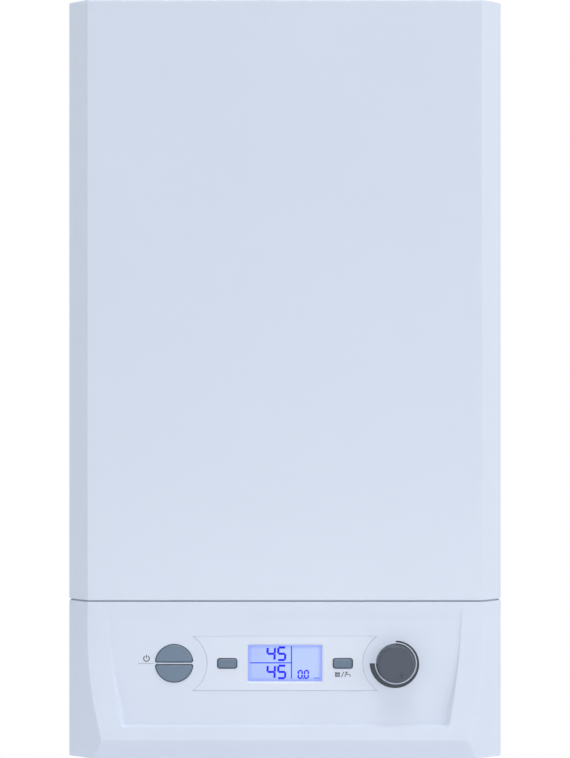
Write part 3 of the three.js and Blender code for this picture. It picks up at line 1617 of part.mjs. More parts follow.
// Condensate trap: a clear-ish bottle with a screwed lower cup and an outlet through the floor sheet.
function condensateTrap() {
  const base = caseBottom + trapRise;
  const bottle = turned(
    [
      [0, 0],
      [trapRadius - 3, 0],
      [trapRadius + 1, 4],
      [trapRadius + 1, 26],
      [trapRadius - 2, 28],
      [trapRadius - 2, trapHeight - 8],
      [10, trapHeight - 3],
      [10, trapHeight],
      [0, trapHeight],
    ],
    "up",
    [trapX, -trapBack, base],
    12,
  );
  const end = caseBottom - trapDrop;
  const outlet = turned(
    [
      [0, 12],
      [trapOutlet - 3, 12],
      [trapOutlet - 3, 0],
      [trapOutlet, 0],
      [trapOutlet, collarZ - end],
      [trapOutlet + 6, collarZ - end],
      [trapOutlet + 6, collarZ - end + 4],
      [trapOutlet, collarZ - end + 4],
      [trapOutlet, base + 2 - end],
      [0, base + 2 - end],
    ],
    "up",
    [trapX, -trapBack, end],
    8,
  );
  return join(bottle, outlet);
}

function diverterMotor() {
  const face = -blockFront - seat;
  const neck = rod(14, 12, "forward", [diverterX, face, blockMiddle], 10);
  const head = rod(21, 36, "forward", [diverterX, face - 11, blockMiddle], 14);
  const plug = block(diverterX - 8, diverterX + 8, face - 40, face - 20, blockMiddle + 18, blockMiddle + 30);
  return join(neck, head, plug);
}

function pressureSensor() {
  const face = -blockFront - seat;
  const hex = rod(10, 9, "forward", [sensorX, face, blockMiddle], 6);
  return join(hex, rod(7, 24, "forward", [sensorX, face, blockMiddle], 10));
}

function safetyValve() {
  const face = -blockFront - seat;
  const body = rod(13, 20, "forward", [safetyX, face, blockMiddle], 12);
  const spout = rod(7, 34, "down", [safetyX, face - 11, blockMiddle], 8);
  return join(body, spout);
}

// Ribbed hand knob; it stands on its own axis and points up its direction.
function handKnob(radius, height, direction, ribs) {
  const body = rod(radius - 1.5, height, direction, [0, 0, 0], 16);
  const grips = ring(ribs, radius - 2.5, (x, z) => rod(2.5, height - 3, "back", [x, 0, z], 6));
  const turnTo = new THREE.Quaternion().setFromUnitVectors(directions.back, directions[direction]);
  return join(body, ...grips.map((grip) => grip.applyQuaternion(turnTo)));
}

// Automatic air vent on the exchanger's top.
function airVent() {
  return turned(
    [
      [0, 0],
      [8, 0],
      [8, 8],
      [13, 10],
      [13, 32],
      [9, 35],
      [5, 35],
      [5, 40],
      [0, 40],
    ],
    "up",
    [exchangerX - 35, -waterBack, exchangerTop + seat],
    10,
  );
}

// Rubber grommet in the floor sheet for the supply cable.
function supplyGrommet() {
  const groove = grommetRadius - 0.8;
  return turned(
    [
      [4, -4],
      [grommetRadius + 3, -4],
      [grommetRadius + 3, -seat],
      [groove, -seat],
      [groove, sheet + seat],
      [grommetRadius + 3, sheet + seat],
      [grommetRadius + 1, sheet + 4],
      [4, sheet + 4],
      [4, -4],
    ],
    "up",
    [grommetX, -grommetBack, bottomPlateZ],
    10,
  );
}

piece(waterSide, "vessel_hose", vesselHose(), rubber);
piece(waterSide, "flow_block", waterBlock(-1), brass);
piece(waterSide, "return_block", waterBlock(1), brass);
piece(waterSide, "plate_exchanger", plateExchanger(), stainless);
piece(waterSide, "pump_housing", pumpHousing(), greyPlastic);
piece(waterSide, "pump_motor", pumpMotor(), blackPlastic);
piece(waterSide, "flow_pipe", flowPipe(), copper);
piece(waterSide, "return_pipe", returnPipe(), copper);
piece(waterSide, "condensate_hose", condensateHose(), greyPlastic);
piece(waterSide, "condensate_trap", condensateTrap(), paleGrey);
piece(waterSide, "diverter_motor", diverterMotor(), blackPlastic);
piece(waterSide, "pressure_sensor", pressureSensor(), zinc);
piece(waterSide, "safety_valve", safetyValve(), brass);
piece(waterSide, "safety_knob", handKnob(15, 14, "forward", 5), redPlastic, [safetyX, -blockFront - 2 * seat - 20, blockMiddle]);
piece(waterSide, "air_vent", airVent(), brass);
piece(waterSide, "fill_knob", handKnob(12, 16, "down", 5), bluePlastic, [fillX, -tailBack, caseBottom - seat]);
piece(waterSide, "supply_grommet", supplyGrommet(), rubber);

export default boiler;
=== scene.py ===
import json
import math
import bmesh
import bpy
import numpy as np
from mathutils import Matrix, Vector


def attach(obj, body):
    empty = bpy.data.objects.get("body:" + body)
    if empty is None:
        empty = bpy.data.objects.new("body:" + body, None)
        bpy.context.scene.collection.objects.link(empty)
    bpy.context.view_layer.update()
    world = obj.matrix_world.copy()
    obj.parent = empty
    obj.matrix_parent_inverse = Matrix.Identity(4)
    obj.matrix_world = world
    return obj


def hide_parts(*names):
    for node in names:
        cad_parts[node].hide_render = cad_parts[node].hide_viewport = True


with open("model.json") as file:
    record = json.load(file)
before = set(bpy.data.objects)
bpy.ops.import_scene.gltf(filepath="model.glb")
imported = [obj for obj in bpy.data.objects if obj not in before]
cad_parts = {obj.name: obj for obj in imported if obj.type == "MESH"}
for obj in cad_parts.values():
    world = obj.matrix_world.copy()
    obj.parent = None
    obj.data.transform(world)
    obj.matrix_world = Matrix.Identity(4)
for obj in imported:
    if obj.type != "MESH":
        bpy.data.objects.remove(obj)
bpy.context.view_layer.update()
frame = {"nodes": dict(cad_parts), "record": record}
mm = 0.001
casing = {"half": 212.0, "top": 58.0, "bottom": -682.0, "frontPlane": 324.0, "shoulder": 296.0, "rear": 267.0,
          "chamfer": 19.5, "bend": 2.4}
controlZ = -589.0
floorFront = 322.8  # dish floor, millimetres in front of the wall


# ---- Camera
camera = {"distance": 3000.0, "height": -312.0, "pixelsPerMm": 1.027, "sensor": 36.0, "pictureHeight": 758,
          "middleColumn": 284.8, "controlRow": 663.5}


def placeCamera():
    # straight in front; the lens gives so many pixels per millimetre at the front plane
    data = bpy.data.cameras.new("camera")
    data.sensor_fit = "VERTICAL"
    data.sensor_height = camera["sensor"]
    data.lens = camera["pixelsPerMm"] * camera["distance"] * camera["sensor"] / camera["pictureHeight"]
    data.clip_end = 50
    eye = bpy.data.objects.new("camera", data)
    eye.location = (0, -(casing["frontPlane"] + camera["distance"]) * mm, camera["height"] * mm)
    eye.rotation_euler = (math.pi / 2, 0, 0)
    bpy.context.scene.collection.objects.link(eye)
    bpy.context.scene.camera = eye


placeCamera()
bpy.context.scene.view_settings.view_transform = "Standard"
print("stage: camera")


# ---- Shader maths on sockets
class Value:
    # wraps one socket; each operator adds a Math node and wraps what comes out
    def __init__(self, paint, socket):
        self.paint, self.socket = paint, socket

    def math(self, operation, *others, first=None):
        parts = [self if first is None else first, *others]
        node = self.paint.add("ShaderNodeMath", {"operation": operation}, *parts)
        return Value(self.paint, node.outputs[0])

    def __rsub__(self, other):
        return self.math("SUBTRACT", self, first=other)

    def abs(self):
        return self.math("ABSOLUTE")

    def wave(self, period):
        # up and down between 0 and the period
        return self.math("PINGPONG", period)

    def band(self, low, high):
        # 0 at low, 1 at high, straight between and held outside
        node = self.paint.add("ShaderNodeMapRange", {"clamp": True}, self, low, high, 0.0, 1.0)
        return Value(self.paint, node.outputs[0])


operators = {"__add__": "ADD", "__radd__": "ADD", "__sub__": "SUBTRACT", "__mul__": "MULTIPLY",
             "__rmul__": "MULTIPLY", "__pow__": "POWER", "__lt__": "LESS_THAN"}
for method, operation in operators.items():
    setattr(Value, method, lambda self, other, operation=operation: self.math(operation, other))


class Paint:
    # a material being built: add() makes any node from its type, its settings and its sockets in order
    def __init__(self, name):
        self.material = bpy.data.materials.new(name)
        self.material.use_nodes = True
        self.tree = self.material.node_tree
        self.tree.nodes.clear()
        self.output = self.add("ShaderNodeOutputMaterial", {})
        self.place = self.add("ShaderNodeTexCoord", {}).outputs["Object"]

    def add(self, kind, settings, *sockets, **named):
        node = self.tree.nodes.new(kind)
        for key, setting in settings.items():
            setattr(node, key, setting)
        for index, given in enumerate(sockets):
            self.feed(node.inputs[index], given)
        for key, given in named.items():
            self.feed(node.inputs[key.replace("_", " ")], given)
        return node

    def feed(self, socket, given):
        # a Value or a socket is linked, anything else is set
        if given is None:
            return
        if isinstance(given, Value):
            self.tree.links.new(given.socket, socket)
        elif isinstance(given, bpy.types.NodeSocket):
            self.tree.links.new(given, socket)
        else:
            socket.default_value = given

    def noise(self, scale, detail=2.0, rough=0.5, stretch=None):
        # fractal noise of 0 to 1 at so many waves per metre; stretch scales the axes
        spot = self.place
        if stretch is not None:
            spot = self.add("ShaderNodeMapping", {}, Vector=self.place, Scale=stretch).outputs[0]
        node = self.add("ShaderNodeTexNoise", {}, Vector=spot, Scale=scale, Detail=detail, Roughness=rough)
        return Value(self, node.outputs[0])

    def cells(self, scale):
        # so many irregular cells per metre
        return self.add("ShaderNodeTexVoronoi", {"feature": "F1"}, Vector=self.place, Scale=scale)

    def axis(self, index):
        # the place along X, Y or Z in metres
        node = self.add("ShaderNodeSeparateXYZ", {}, self.place)
        return Value(self, node.outputs[index])

    def mix(self, share, first, second):
        # the first colour where the share is 0, the second where it is 1
        node = self.add("ShaderNodeMix", {"data_type": "RGBA"})
        self.feed(node.inputs["Factor"], share)
        self.feed(node.inputs[6], first)
        self.feed(node.inputs[7], second)
        return node.outputs[2]

    def bump(self, height, depth):
        # depth is the height of the relief in metres
        return self.add("ShaderNodeBump", {}, Strength=1.0, Distance=depth, Height=height).outputs[0]

    def choose(self, share, first, second):
        # the first shader where the share is 0, the second where it is 1
        return self.add("ShaderNodeMixShader", {}, share, first, second).outputs[0]

    def finish(self, color, rough, normal=None, metallic=0.0, **constants):
        shader = self.add("ShaderNodeBsdfPrincipled", {})
        self.feed(shader.inputs["Base Color"], color)
        self.feed(shader.inputs["Roughness"], rough)
        self.feed(shader.inputs["Metallic"], metallic)
        self.feed(shader.inputs["Normal"], normal)
        for key, given in constants.items():
            self.feed(shader.inputs[key.replace("_", " ")], given)
        self.tree.links.new(shader.outputs[0], self.output.inputs[0])
        return self.material


def tone(*levels):
    # sRGB levels of 0 to 255 as linear red, green, blue and alpha
    share = [level / 255 for level in levels]
    return (*[s / 12.92 if s <= 0.04045 else ((s + 0.055) / 1.055) ** 2.4 for s in share], 1.0)


def shade(color, factor):
    # a colour times a factor, at most 1
    return (*[min(1.0, c * factor) for c in color[:3]], 1.0)


# name: maker, sRGB levels, roughness, then the grain's waves per metre and its relief in metres
finishes = {
    "whitePaint": ("paint", (213, 221, 234), 0.34, 900, 6e-6),
    "whitePlastic": ("plastic", (214, 222, 236), 0.38, 2600, 4e-6),
    "bezelPlastic": ("plastic", (217, 224, 237), 0.33, 2600, 3e-6),
    "buttonGrey": ("plastic", (108, 126, 146), 0.42, 3200, 8e-6),
    "keyGrey": ("plastic", (101, 119, 139), 0.42, 3200, 8e-6),
    "slate": ("plastic", (73, 81, 94), 0.45, 2600, 1e-5),
    "darkGrey": ("plastic", (60, 66, 77), 0.5, 2400, 8e-6),
    "blackPlastic": ("plastic", (42, 43, 46), 0.55, 1400, 2e-5),
    "composite": ("plastic", (66, 68, 72), 0.6, 700, 4e-5),
    "greyPlastic": ("plastic", (150, 155, 160), 0.5, 1500, 1.5e-5),
    "paleGrey": ("plastic", (208, 212, 214), 0.42, 1500, 1e-5),
    "rubber": ("plastic", (38, 38, 40), 0.8, 900, 3e-5),
    "redPlastic": ("plastic", (186, 40, 32), 0.4, 1800, 8e-6),
    "bluePlastic": ("plastic", (36, 92, 170), 0.4, 1800, 8e-6),
    "redPaint": ("paint", (168, 38, 30), 0.38, 500, 1.5e-5),
    "ceramic": ("plastic", (232, 229, 220), 0.25, 1200, 6e-6),
    "aluminium": ("cast", (170, 174, 177), 0.46, 6e-5),
    "brass": ("cast", (196, 164, 96), 0.4, 4e-5),
    "zinc": ("zinc", (176, 181, 184), 0.36),
    "stainless": ("brushed", (196, 198, 200), 0.28),
    "copper": ("drawn", (196, 122, 84), 0.3),
}


def paintFinish(name, color, rough, peel, depth):
    # sprayed or powder coat: a fine orange peel, and a very slight drift of tone over a hand's breadth
    p = Paint(name)
    shown = p.mix(p.noise(6.0, 2.0), shade(color, 0.985), shade(color, 1.015))
    relief = p.noise(peel, 2.0, 0.45) + 0.25 * p.noise(peel * 4.3, 1.0)
    uneven = rough - 0.03 + 0.06 * p.noise(40.0, 3.0)
    return p.finish(shown, uneven, p.bump(relief, depth), Coat_Weight=0.25, Coat_Roughness=0.24)


def plasticFinish(name, color, rough, grain, depth):
    # moulded: a spark-eroded grain, with roughness that varies a little
    p = Paint(name)
    shown = p.mix(p.noise(14.0, 2.0), shade(color, 0.975), shade(color, 1.02))
    uneven = rough - 0.04 + 0.08 * p.noise(grain * 0.3, 2.0)
    return p.finish(shown, uneven, p.bump(p.noise(grain, 3.0, 0.6), depth))


def zincFinish(name, color, rough):
    # galvanised sheet: irregular spangles about 7 mm across, each its own tone, with faint rolling lines
    p = Paint(name)
    spangle = p.cells(140.0).outputs["Color"]
    level = Value(p, p.add("ShaderNodeSeparateColor", {}, spangle).outputs[0])
    lines = p.noise(300.0, 2.0, 0.5, (1.0, 1.0, 14.0))
    shown = p.mix(level * 0.7 + 0.3 * lines, shade(color, 0.84), shade(color, 1.12))
    return p.finish(shown, rough + 0.14 * level + 0.05 * lines, p.bump(lines, 6e-6), 0.9)


def brushedFinish(name, color, rough):
    # brushed sheet: streaks a few centimetres long across X
    p = Paint(name)
    streak = p.noise(60.0, 6.0, 0.7, (0.25, 26.0, 26.0))
    shown = p.mix(streak, shade(color, 0.86), shade(color, 1.1))
    return p.finish(shown, rough + 0.16 * streak, p.bump(streak, 8e-6), 0.95)


def castFinish(name, color, rough, depth):
    # cast metal: a sandy skin with shallow pits, and broad stains
    p = Paint(name)
    skin = p.noise(900.0, 4.0, 0.65)
    pit = Value(p, p.cells(420.0).outputs["Distance"]).band(0.05, 0.5)
    stain = p.noise(22.0, 4.0, 0.6)
    shown = p.mix(stain, shade(color, 0.82), shade(color, 1.08))
    return p.finish(shown, rough + 0.16 * stain, p.bump(skin + 0.6 * pit, depth), 0.88)


def drawnFinish(name, color, rough):
    # drawn tube: faint lines, and patches where it has dulled to brown
    p = Paint(name)
    dull = p.noise(28.0, 5.0, 0.6).band(0.42, 0.72)
    line = p.noise(260.0, 2.0, 0.5, (3.0, 3.0, 0.6))
    shown = p.mix(dull, shade(color, 1.05), shade(color, 0.62))
    return p.finish(shown, rough + 0.22 * dull + 0.05 * line, p.bump(line, 5e-6), 0.92)


makers = {"paint": paintFinish, "plastic": plasticFinish, "zinc": zincFinish, "brushed": brushedFinish,
          "cast": castFinish, "drawn": drawnFinish}
material = {}
for name, (kind, levels, *rest) in finishes.items():
    material[name] = makers[kind](name, tone(*levels), *rest)


def boardFinish():
    # green mask over copper: tracks on a 2.5 mm grid, lighter where there is copper, with tinned pads
    p = Paint("boardGreen")
    across, up = p.axis(0) * 400.0, p.axis(2) * 400.0
    lane = (across + (up * 0.25).wave(3.0) * 2.0).wave(1.0).band(0.55, 0.6)
    patch = p.noise(70.0, 1.0).band(0.48, 0.52)
    pad = Value(p, p.cells(260.0).outputs["Distance"]) < 0.16
    mask = p.mix(lane * patch, tone(24, 84, 52), tone(40, 112, 66))
    color = p.mix(pad, mask, tone(186, 190, 186))
    return p.finish(color, 0.34 + 0.1 * patch, p.bump(lane * patch + pad, 3e-5), pad * 0.8)


display = {  # metres, colours and how strongly each glows; deep is the colour of the painted shade at the rim
    "halfWidth": 0.0358, "halfHeight": 0.0174, "rim": 0.004, "deep": tone(124, 142, 224),
    "pale": tone(160, 177, 240), "glow": 0.52, "figures": tone(0, 6, 222), "lines": tone(20, 60, 226),
    "figureGlow": 0.35, "pane": tone(236, 240, 252)}


def displayFinish():
    # lit liquid crystal panel: pale blue, with painted shade that deepens it near its rim, and deeper towards
    # the lower left
    p = Paint("displayBlue")
    up = p.axis(2) - controlZ * mm
    slope = (p.axis(0) * 9.0 + up * 12.0 + 0.5).band(0.0, 1.0)
    # painted shade: the colour turns deep within the rim's width of each edge of the window
    sideShadeFade = (display["halfWidth"] - p.axis(0).abs()).band(0.0, display["rim"])
    endShadeFade = (display["halfHeight"] - up.abs()).band(0.0, display["rim"])
    share = sideShadeFade * endShadeFade * (slope * 0.5 + 0.2 * p.noise(45.0, 2.0) + 0.3)
    color = p.mix(share, display["deep"], display["pale"])
    return p.finish(color, 0.3, None, 0.0, Emission_Color=color, Emission_Strength=display["glow"])


def litFinish(name, color):
    # dark crystal: its own blue, lit from behind, clouded very slightly
    p = Paint(name)
    cloud = p.noise(500.0, 2.0)
    shown = p.mix(cloud, shade(color, 0.92), shade(color, 1.08))
    return p.finish(shown, 0.35 + 0.05 * cloud, None, 0.0, Specular_IOR_Level=0.05,
                    Emission_Color=shown, Emission_Strength=display["figureGlow"])


def windowFinish():
    # clear acrylic pane: almost wholly transparent, with a faint smear
    p = Paint("window")
    smear = p.noise(60.0, 3.0)
    cover = 0.012 + 0.015 * smear
    return p.finish(display["pane"], 0.06 + 0.06 * smear, p.bump(smear, 2e-6), 0.0, Alpha=cover)


material["boardGreen"] = boardFinish()
material["displayBlue"] = displayFinish()
material["litBlue"] = litFinish("litBlue", display["figures"])
material["litLine"] = litFinish("litLine", display["lines"])
material["window"] = windowFinish()
print("stage: materials", len(material))


# ---- Mesh makers
def finishPiece(name, mesh, finish, smooth=35.0):
    # an object of a mesh and one finish, shaded smooth but sharp where faces meet at more than an angle
    mesh.update()
    mesh.polygons.foreach_set("use_smooth", np.ones(len(mesh.polygons), bool))
    mesh.set_sharp_from_angle(angle=math.radians(smooth))
    mesh.materials.clear()
    mesh.materials.append(material[finish])
    obj = bpy.data.objects.new(name, mesh)
    bpy.context.scene.collection.objects.link(obj)
    return obj


def gridFaces(rows, columns, offset=0, closed=False, turned=False):
    # quads of a grid of rows and columns; closed joins the last column to the first
    r, c = np.meshgrid(np.arange(rows - 1), np.arange(columns - (0 if closed else 1)), indexing="ij")
    n = (c + 1) % columns
    quad = np.stack([r * columns + c, r * columns + n, (r + 1) * columns + n, (r + 1) * columns + c], -1)
    quad = quad.reshape(-1, 4) + offset
    return (quad[:, ::-1] if turned else quad).tolist()


def tidyMesh(name, vertices, faces, limit=1e-5):
    # merges doubles, drops what collapsed, and turns the faces outwards
    mesh = bpy.data.meshes.new(name)
    mesh.from_pydata(np.asarray(vertices, float).tolist(), [], faces)
    bm = bmesh.new()
    bm.from_mesh(mesh)
    bmesh.ops.remove_doubles(bm, verts=bm.verts, dist=limit)
    bmesh.ops.dissolve_degenerate(bm, edges=bm.edges, dist=limit)
    bmesh.ops.recalc_face_normals(bm, faces=bm.faces)
    if bm.calc_volume(signed=True) < 0:
        bmesh.ops.reverse_faces(bm, faces=bm.faces)
    bm.to_mesh(mesh)
    bm.free()
    return mesh


def toWorld(flat, forward):
    # flat is X and Z in millimetres, forward is the distance in front of the wall
    flat, forward = np.broadcast_arrays(np.asarray(flat, float), np.asarray(forward, float)[..., None])
    return np.stack([flat[..., 0], -forward[..., 0], flat[..., 1]], -1) * mm


def unit(vector):
    # each vector over its length
    return vector / np.maximum(np.linalg.norm(vector, axis=-1, keepdims=True), 1e-9)


def offsetLoop(loop, distance):
    # each point of an anticlockwise closed outline moved inwards along the mean of its edges' normals
    before, after = loop - np.roll(loop, 1, 0), np.roll(loop, -1, 0) - loop
    normal = unit(before)[:, ::-1] * [-1, 1] + unit(after)[:, ::-1] * [-1, 1]
    length = np.maximum(np.linalg.norm(normal, axis=1, keepdims=True), 1e-9)
    return loop + normal / length * distance * 2 / np.maximum(length, 1.2)


def plug(name, loop, front, back, finish, edge=0.5, steps=5, crown=0.0, at=(0.0, controlZ), smooth=35.0):
    # a plate from an outline: its rim turns over a quarter circle of radius edge, its face rises by crown
    loop = np.asarray(loop, float)
    rings = [toWorld(loop + at, back)]
    for angle in np.linspace(0, math.pi / 2, steps):
        inwards, forward = edge * (1 - math.cos(angle)), front - edge * (1 - math.sin(angle))
        rings.append(toWorld(offsetLoop(loop, inwards) + at, forward))
    inner = offsetLoop(loop, edge)
    middle = inner.mean(0)
    for share in (0.75, 0.45, 0.15):
        rings.append(toWorld(middle + (inner - middle) * share + at, front + crown * (1 - share ** 2)))
    grid = np.stack(rings)
    rows, columns = grid.shape[:2]
    faces = gridFaces(rows, columns, closed=True)
    faces.append(list(range((rows - 1) * columns, rows * columns)))
    faces.append(list(range(columns))[::-1])
    return finishPiece(name, tidyMesh(name, grid.reshape(-1, 3), faces), finish, smooth)


def circle(radius, steps=72, start=0.0, sweep=2 * math.pi, end=False):
    # points evenly along an arc, anticlockwise from its start
    turn = start + np.linspace(0, sweep, steps, endpoint=end)
    return np.stack([radius * np.cos(turn), radius * np.sin(turn)], -1)


def roundedRect(width, height, radius, steps=8):
    # four quarter circles, one at each corner
    quarter, insideX, insideZ = math.pi / 2, width / 2 - radius, height / 2 - radius
    corners = [(1, 1), (-1, 1), (-1, -1), (1, -1)]
    return np.concatenate([circle(radius, steps, k * quarter, quarter, True) + [sx * insideX, sz * insideZ]
                           for k, (sx, sz) in enumerate(corners)])


def revolve(name, profile, finish, at, steps=96):
    # a profile of radius and height turned about an axis that points forward through a point
    profile = np.asarray(profile, float)
    turn = np.linspace(0, 2 * math.pi, steps, endpoint=False)
    radius, height = profile[:, 0, None], np.broadcast_to(profile[:, 1, None], (len(profile), steps))
    grid = np.stack([radius * np.cos(turn), -height, radius * np.sin(turn)], -1) + np.asarray(at, float)
    faces = gridFaces(len(profile), steps, closed=True)
    return finishPiece(name, tidyMesh(name, grid.reshape(-1, 3) * mm, faces), finish)


def copyOf(node, finish, edge, steps, angle=32.0, only=None):
    # a copy of a CAD node with its flat triangles merged into faces and its sharp edges rounded
    bm = bmesh.new()
    bm.from_mesh(frame["nodes"][node].data)
    bmesh.ops.remove_doubles(bm, verts=bm.verts, dist=2e-6)
    bmesh.ops.dissolve_limit(bm, angle_limit=math.radians(0.6), verts=bm.verts, edges=bm.edges)
    sharp = [e for e in bm.edges if len(e.link_faces) == 2 and e.calc_face_angle(0) > math.radians(angle)
             and (only is None or only(e))]
    bmesh.ops.bevel(bm, geom=sharp, offset=edge * mm, offset_type="OFFSET", segments=steps, profile=0.5,
                    affect="EDGES", clamp_overlap=True, harden_normals=False)
    mesh = bpy.data.meshes.new(node + "_dressed")
    bm.to_mesh(mesh)
    bm.free()
    return finishPiece(node + "_dressed", mesh, finish)


def cutterMesh(loop, x, front, back, taper):
    # a closed prism from an outline; a taper moves the back outline inwards
    n, spot = len(loop), np.asarray(loop, float)
    near, far = spot + [x, controlZ], offsetLoop(spot, taper) + [x, controlZ]
    vertices = toWorld(near, front).tolist() + toWorld(far, back).tolist()
    faces = [[i, (i + 1) % n, n + (i + 1) % n, n + i] for i in range(n)]
    faces += [list(range(n))[::-1], list(range(n, 2 * n))]
    return tidyMesh("cutter", vertices, faces, 1e-6)


def cutHoles(piece, holes, smooth=38.0):
    # takes each hole's prism out of a piece in turn
    for hole in holes:
        cutter = bpy.data.objects.new("cutter", cutterMesh(*hole))
        bpy.context.scene.collection.objects.link(cutter)
        modifier = piece.modifiers.new("hole", "BOOLEAN")
        modifier.operation, modifier.solver, modifier.object = "DIFFERENCE", "MANIFOLD", cutter
        bpy.context.view_layer.update()
        carved = bpy.data.meshes.new_from_object(piece.evaluated_get(bpy.context.evaluated_depsgraph_get()))
        piece.modifiers.clear()
        piece.data = carved
        bpy.data.objects.remove(cutter)
    piece.data.set_sharp_from_angle(angle=math.radians(smooth))


bodyOf = {n: body for body, members in frame["record"]["behaviour"]["bodies"].items() for n in members}


def rideWith(obj, node):
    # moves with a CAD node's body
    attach(obj, bodyOf[node])
    return obj


def standFor(obj, node):
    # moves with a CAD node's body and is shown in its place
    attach(obj, bodyOf[node])
    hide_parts(node)
    return obj


# ---- Control panel's moulded front
panel = {  # millimetres; rises count from the panel's bottom edge
    "height": 153.1, "bulge": 14.0, "narrowing": 14.8, "rimHeight": 19.2, "rimSlant": 16.0,
    "rimNarrowing": 5.5, "bulgeStart": 32.4, "dishTop": 5.6, "dishHeight": 115.5, "dishHalf": 172.2,
    "dishNarrowing": 12.8, "dishPower": 1.75, "dishCorner": 4.0, "draft": 0.55, "leastDraft": 0.55,
    "ramp": 13.0, "floorRise": 66.0, "floorLift": 5.5, "sillWidth": 1.9, "wall": 3.0, "floorWall": 3.5,
    "rimSoftness": 1.3, "wallSoftness": 0.09, "topEdge": 1.3, "bottomEdge": 1.0, "plainRise": 120.0}


def bulgeAt(rise):
    # a parabola from nothing near the top to full height at the rim, then a slanted band back down
    start = panel["height"] - panel["bulgeStart"]
    share = np.clip((start - rise) / (start - panel["rimHeight"]), 0, None)
    above = panel["bulge"] * share ** 2
    below = panel["bulge"] - panel["rimSlant"] * (1 - rise / panel["rimHeight"])
    return np.where(rise < panel["rimHeight"], below, above)


def creaseAt(rise):
    # how far the front's creases lie from the middle: narrower towards the rim, and wider again below it
    start = panel["height"] - panel["bulgeStart"]
    full = casing["half"] - casing["chamfer"]
    share = np.clip((start - rise) / (start - panel["rimHeight"]), 0, None)
    above = full - panel["narrowing"] * share ** 2
    gain = panel["narrowing"] - panel["rimNarrowing"]
    below = full - panel["rimNarrowing"] - gain * rise / panel["rimHeight"]
    return np.where(rise < panel["rimHeight"], below, above)


def softened(function, rise):
    # the mean of a function over a short window, which rounds its kinks
    spread = np.linspace(-1, 1, 9) * panel["rimSoftness"]
    return np.mean([function(np.clip(rise + s, 0, panel["height"])) + 0 * rise for s in spread], 0)


def arcBetween(corner, before, after, radius, steps):
    # a round bend in a plan outline: points on the arc that touches both legs, for all rows at once
    u, v = unit(before - corner), unit(after - corner)
    half = np.arccos(np.clip((u * v).sum(-1), -1, 1)) / 2
    reach = radius / np.tan(half)
    centre = corner + unit(u + v) * (radius / np.sin(half))[:, None]
    first, last = corner + u * reach[:, None] - centre, corner + v * reach[:, None] - centre
    return [centre + unit(first * (1 - t) + last * t) * radius for t in np.linspace(0, 1, steps)]


def fasciaRows(inset):
    # heights of one skin's rows and how far each moves inwards; rows lie close where the surface bends,
    # each span from one height to another in so many rows
    height, rim, top, bottom = panel["height"], panel["rimHeight"], panel["topEdge"], panel["bottomEdge"]
    dishTop = height - panel["dishTop"]
    sill = dishTop - panel["dishHeight"]
    spans = [(inset + 2, rim - 2, 7), (rim - 1.4, rim + 1.4, 9), (rim + 2.4, sill - 2, 5),
             (sill - 0.7, sill + 2.1, 15), (sill + 2.6, sill + 9, 10),
             (sill + 11, panel["plainRise"] - 1, 26), (panel["plainRise"] + 1, dishTop - 14, 5),
             (dishTop - 13, dishTop + 0.9, 20), (dishTop + 1.1, height - inset - top - 0.1, 3)]
    plain = np.concatenate([np.linspace(*span) for span in spans])
    turn, lastTurn = np.linspace(0, math.pi / 2, 5), np.linspace(0, math.pi / 2, 6)
    rises = [inset + bottom * (1 - np.cos(turn)), plain, height - inset - top * (1 - np.sin(lastTurn))]
    insets = [bottom * (1 - np.sin(turn)), 0 * plain, top * (1 - np.cos(lastTurn))]
    return np.concatenate(rises), np.concatenate(insets) + inset


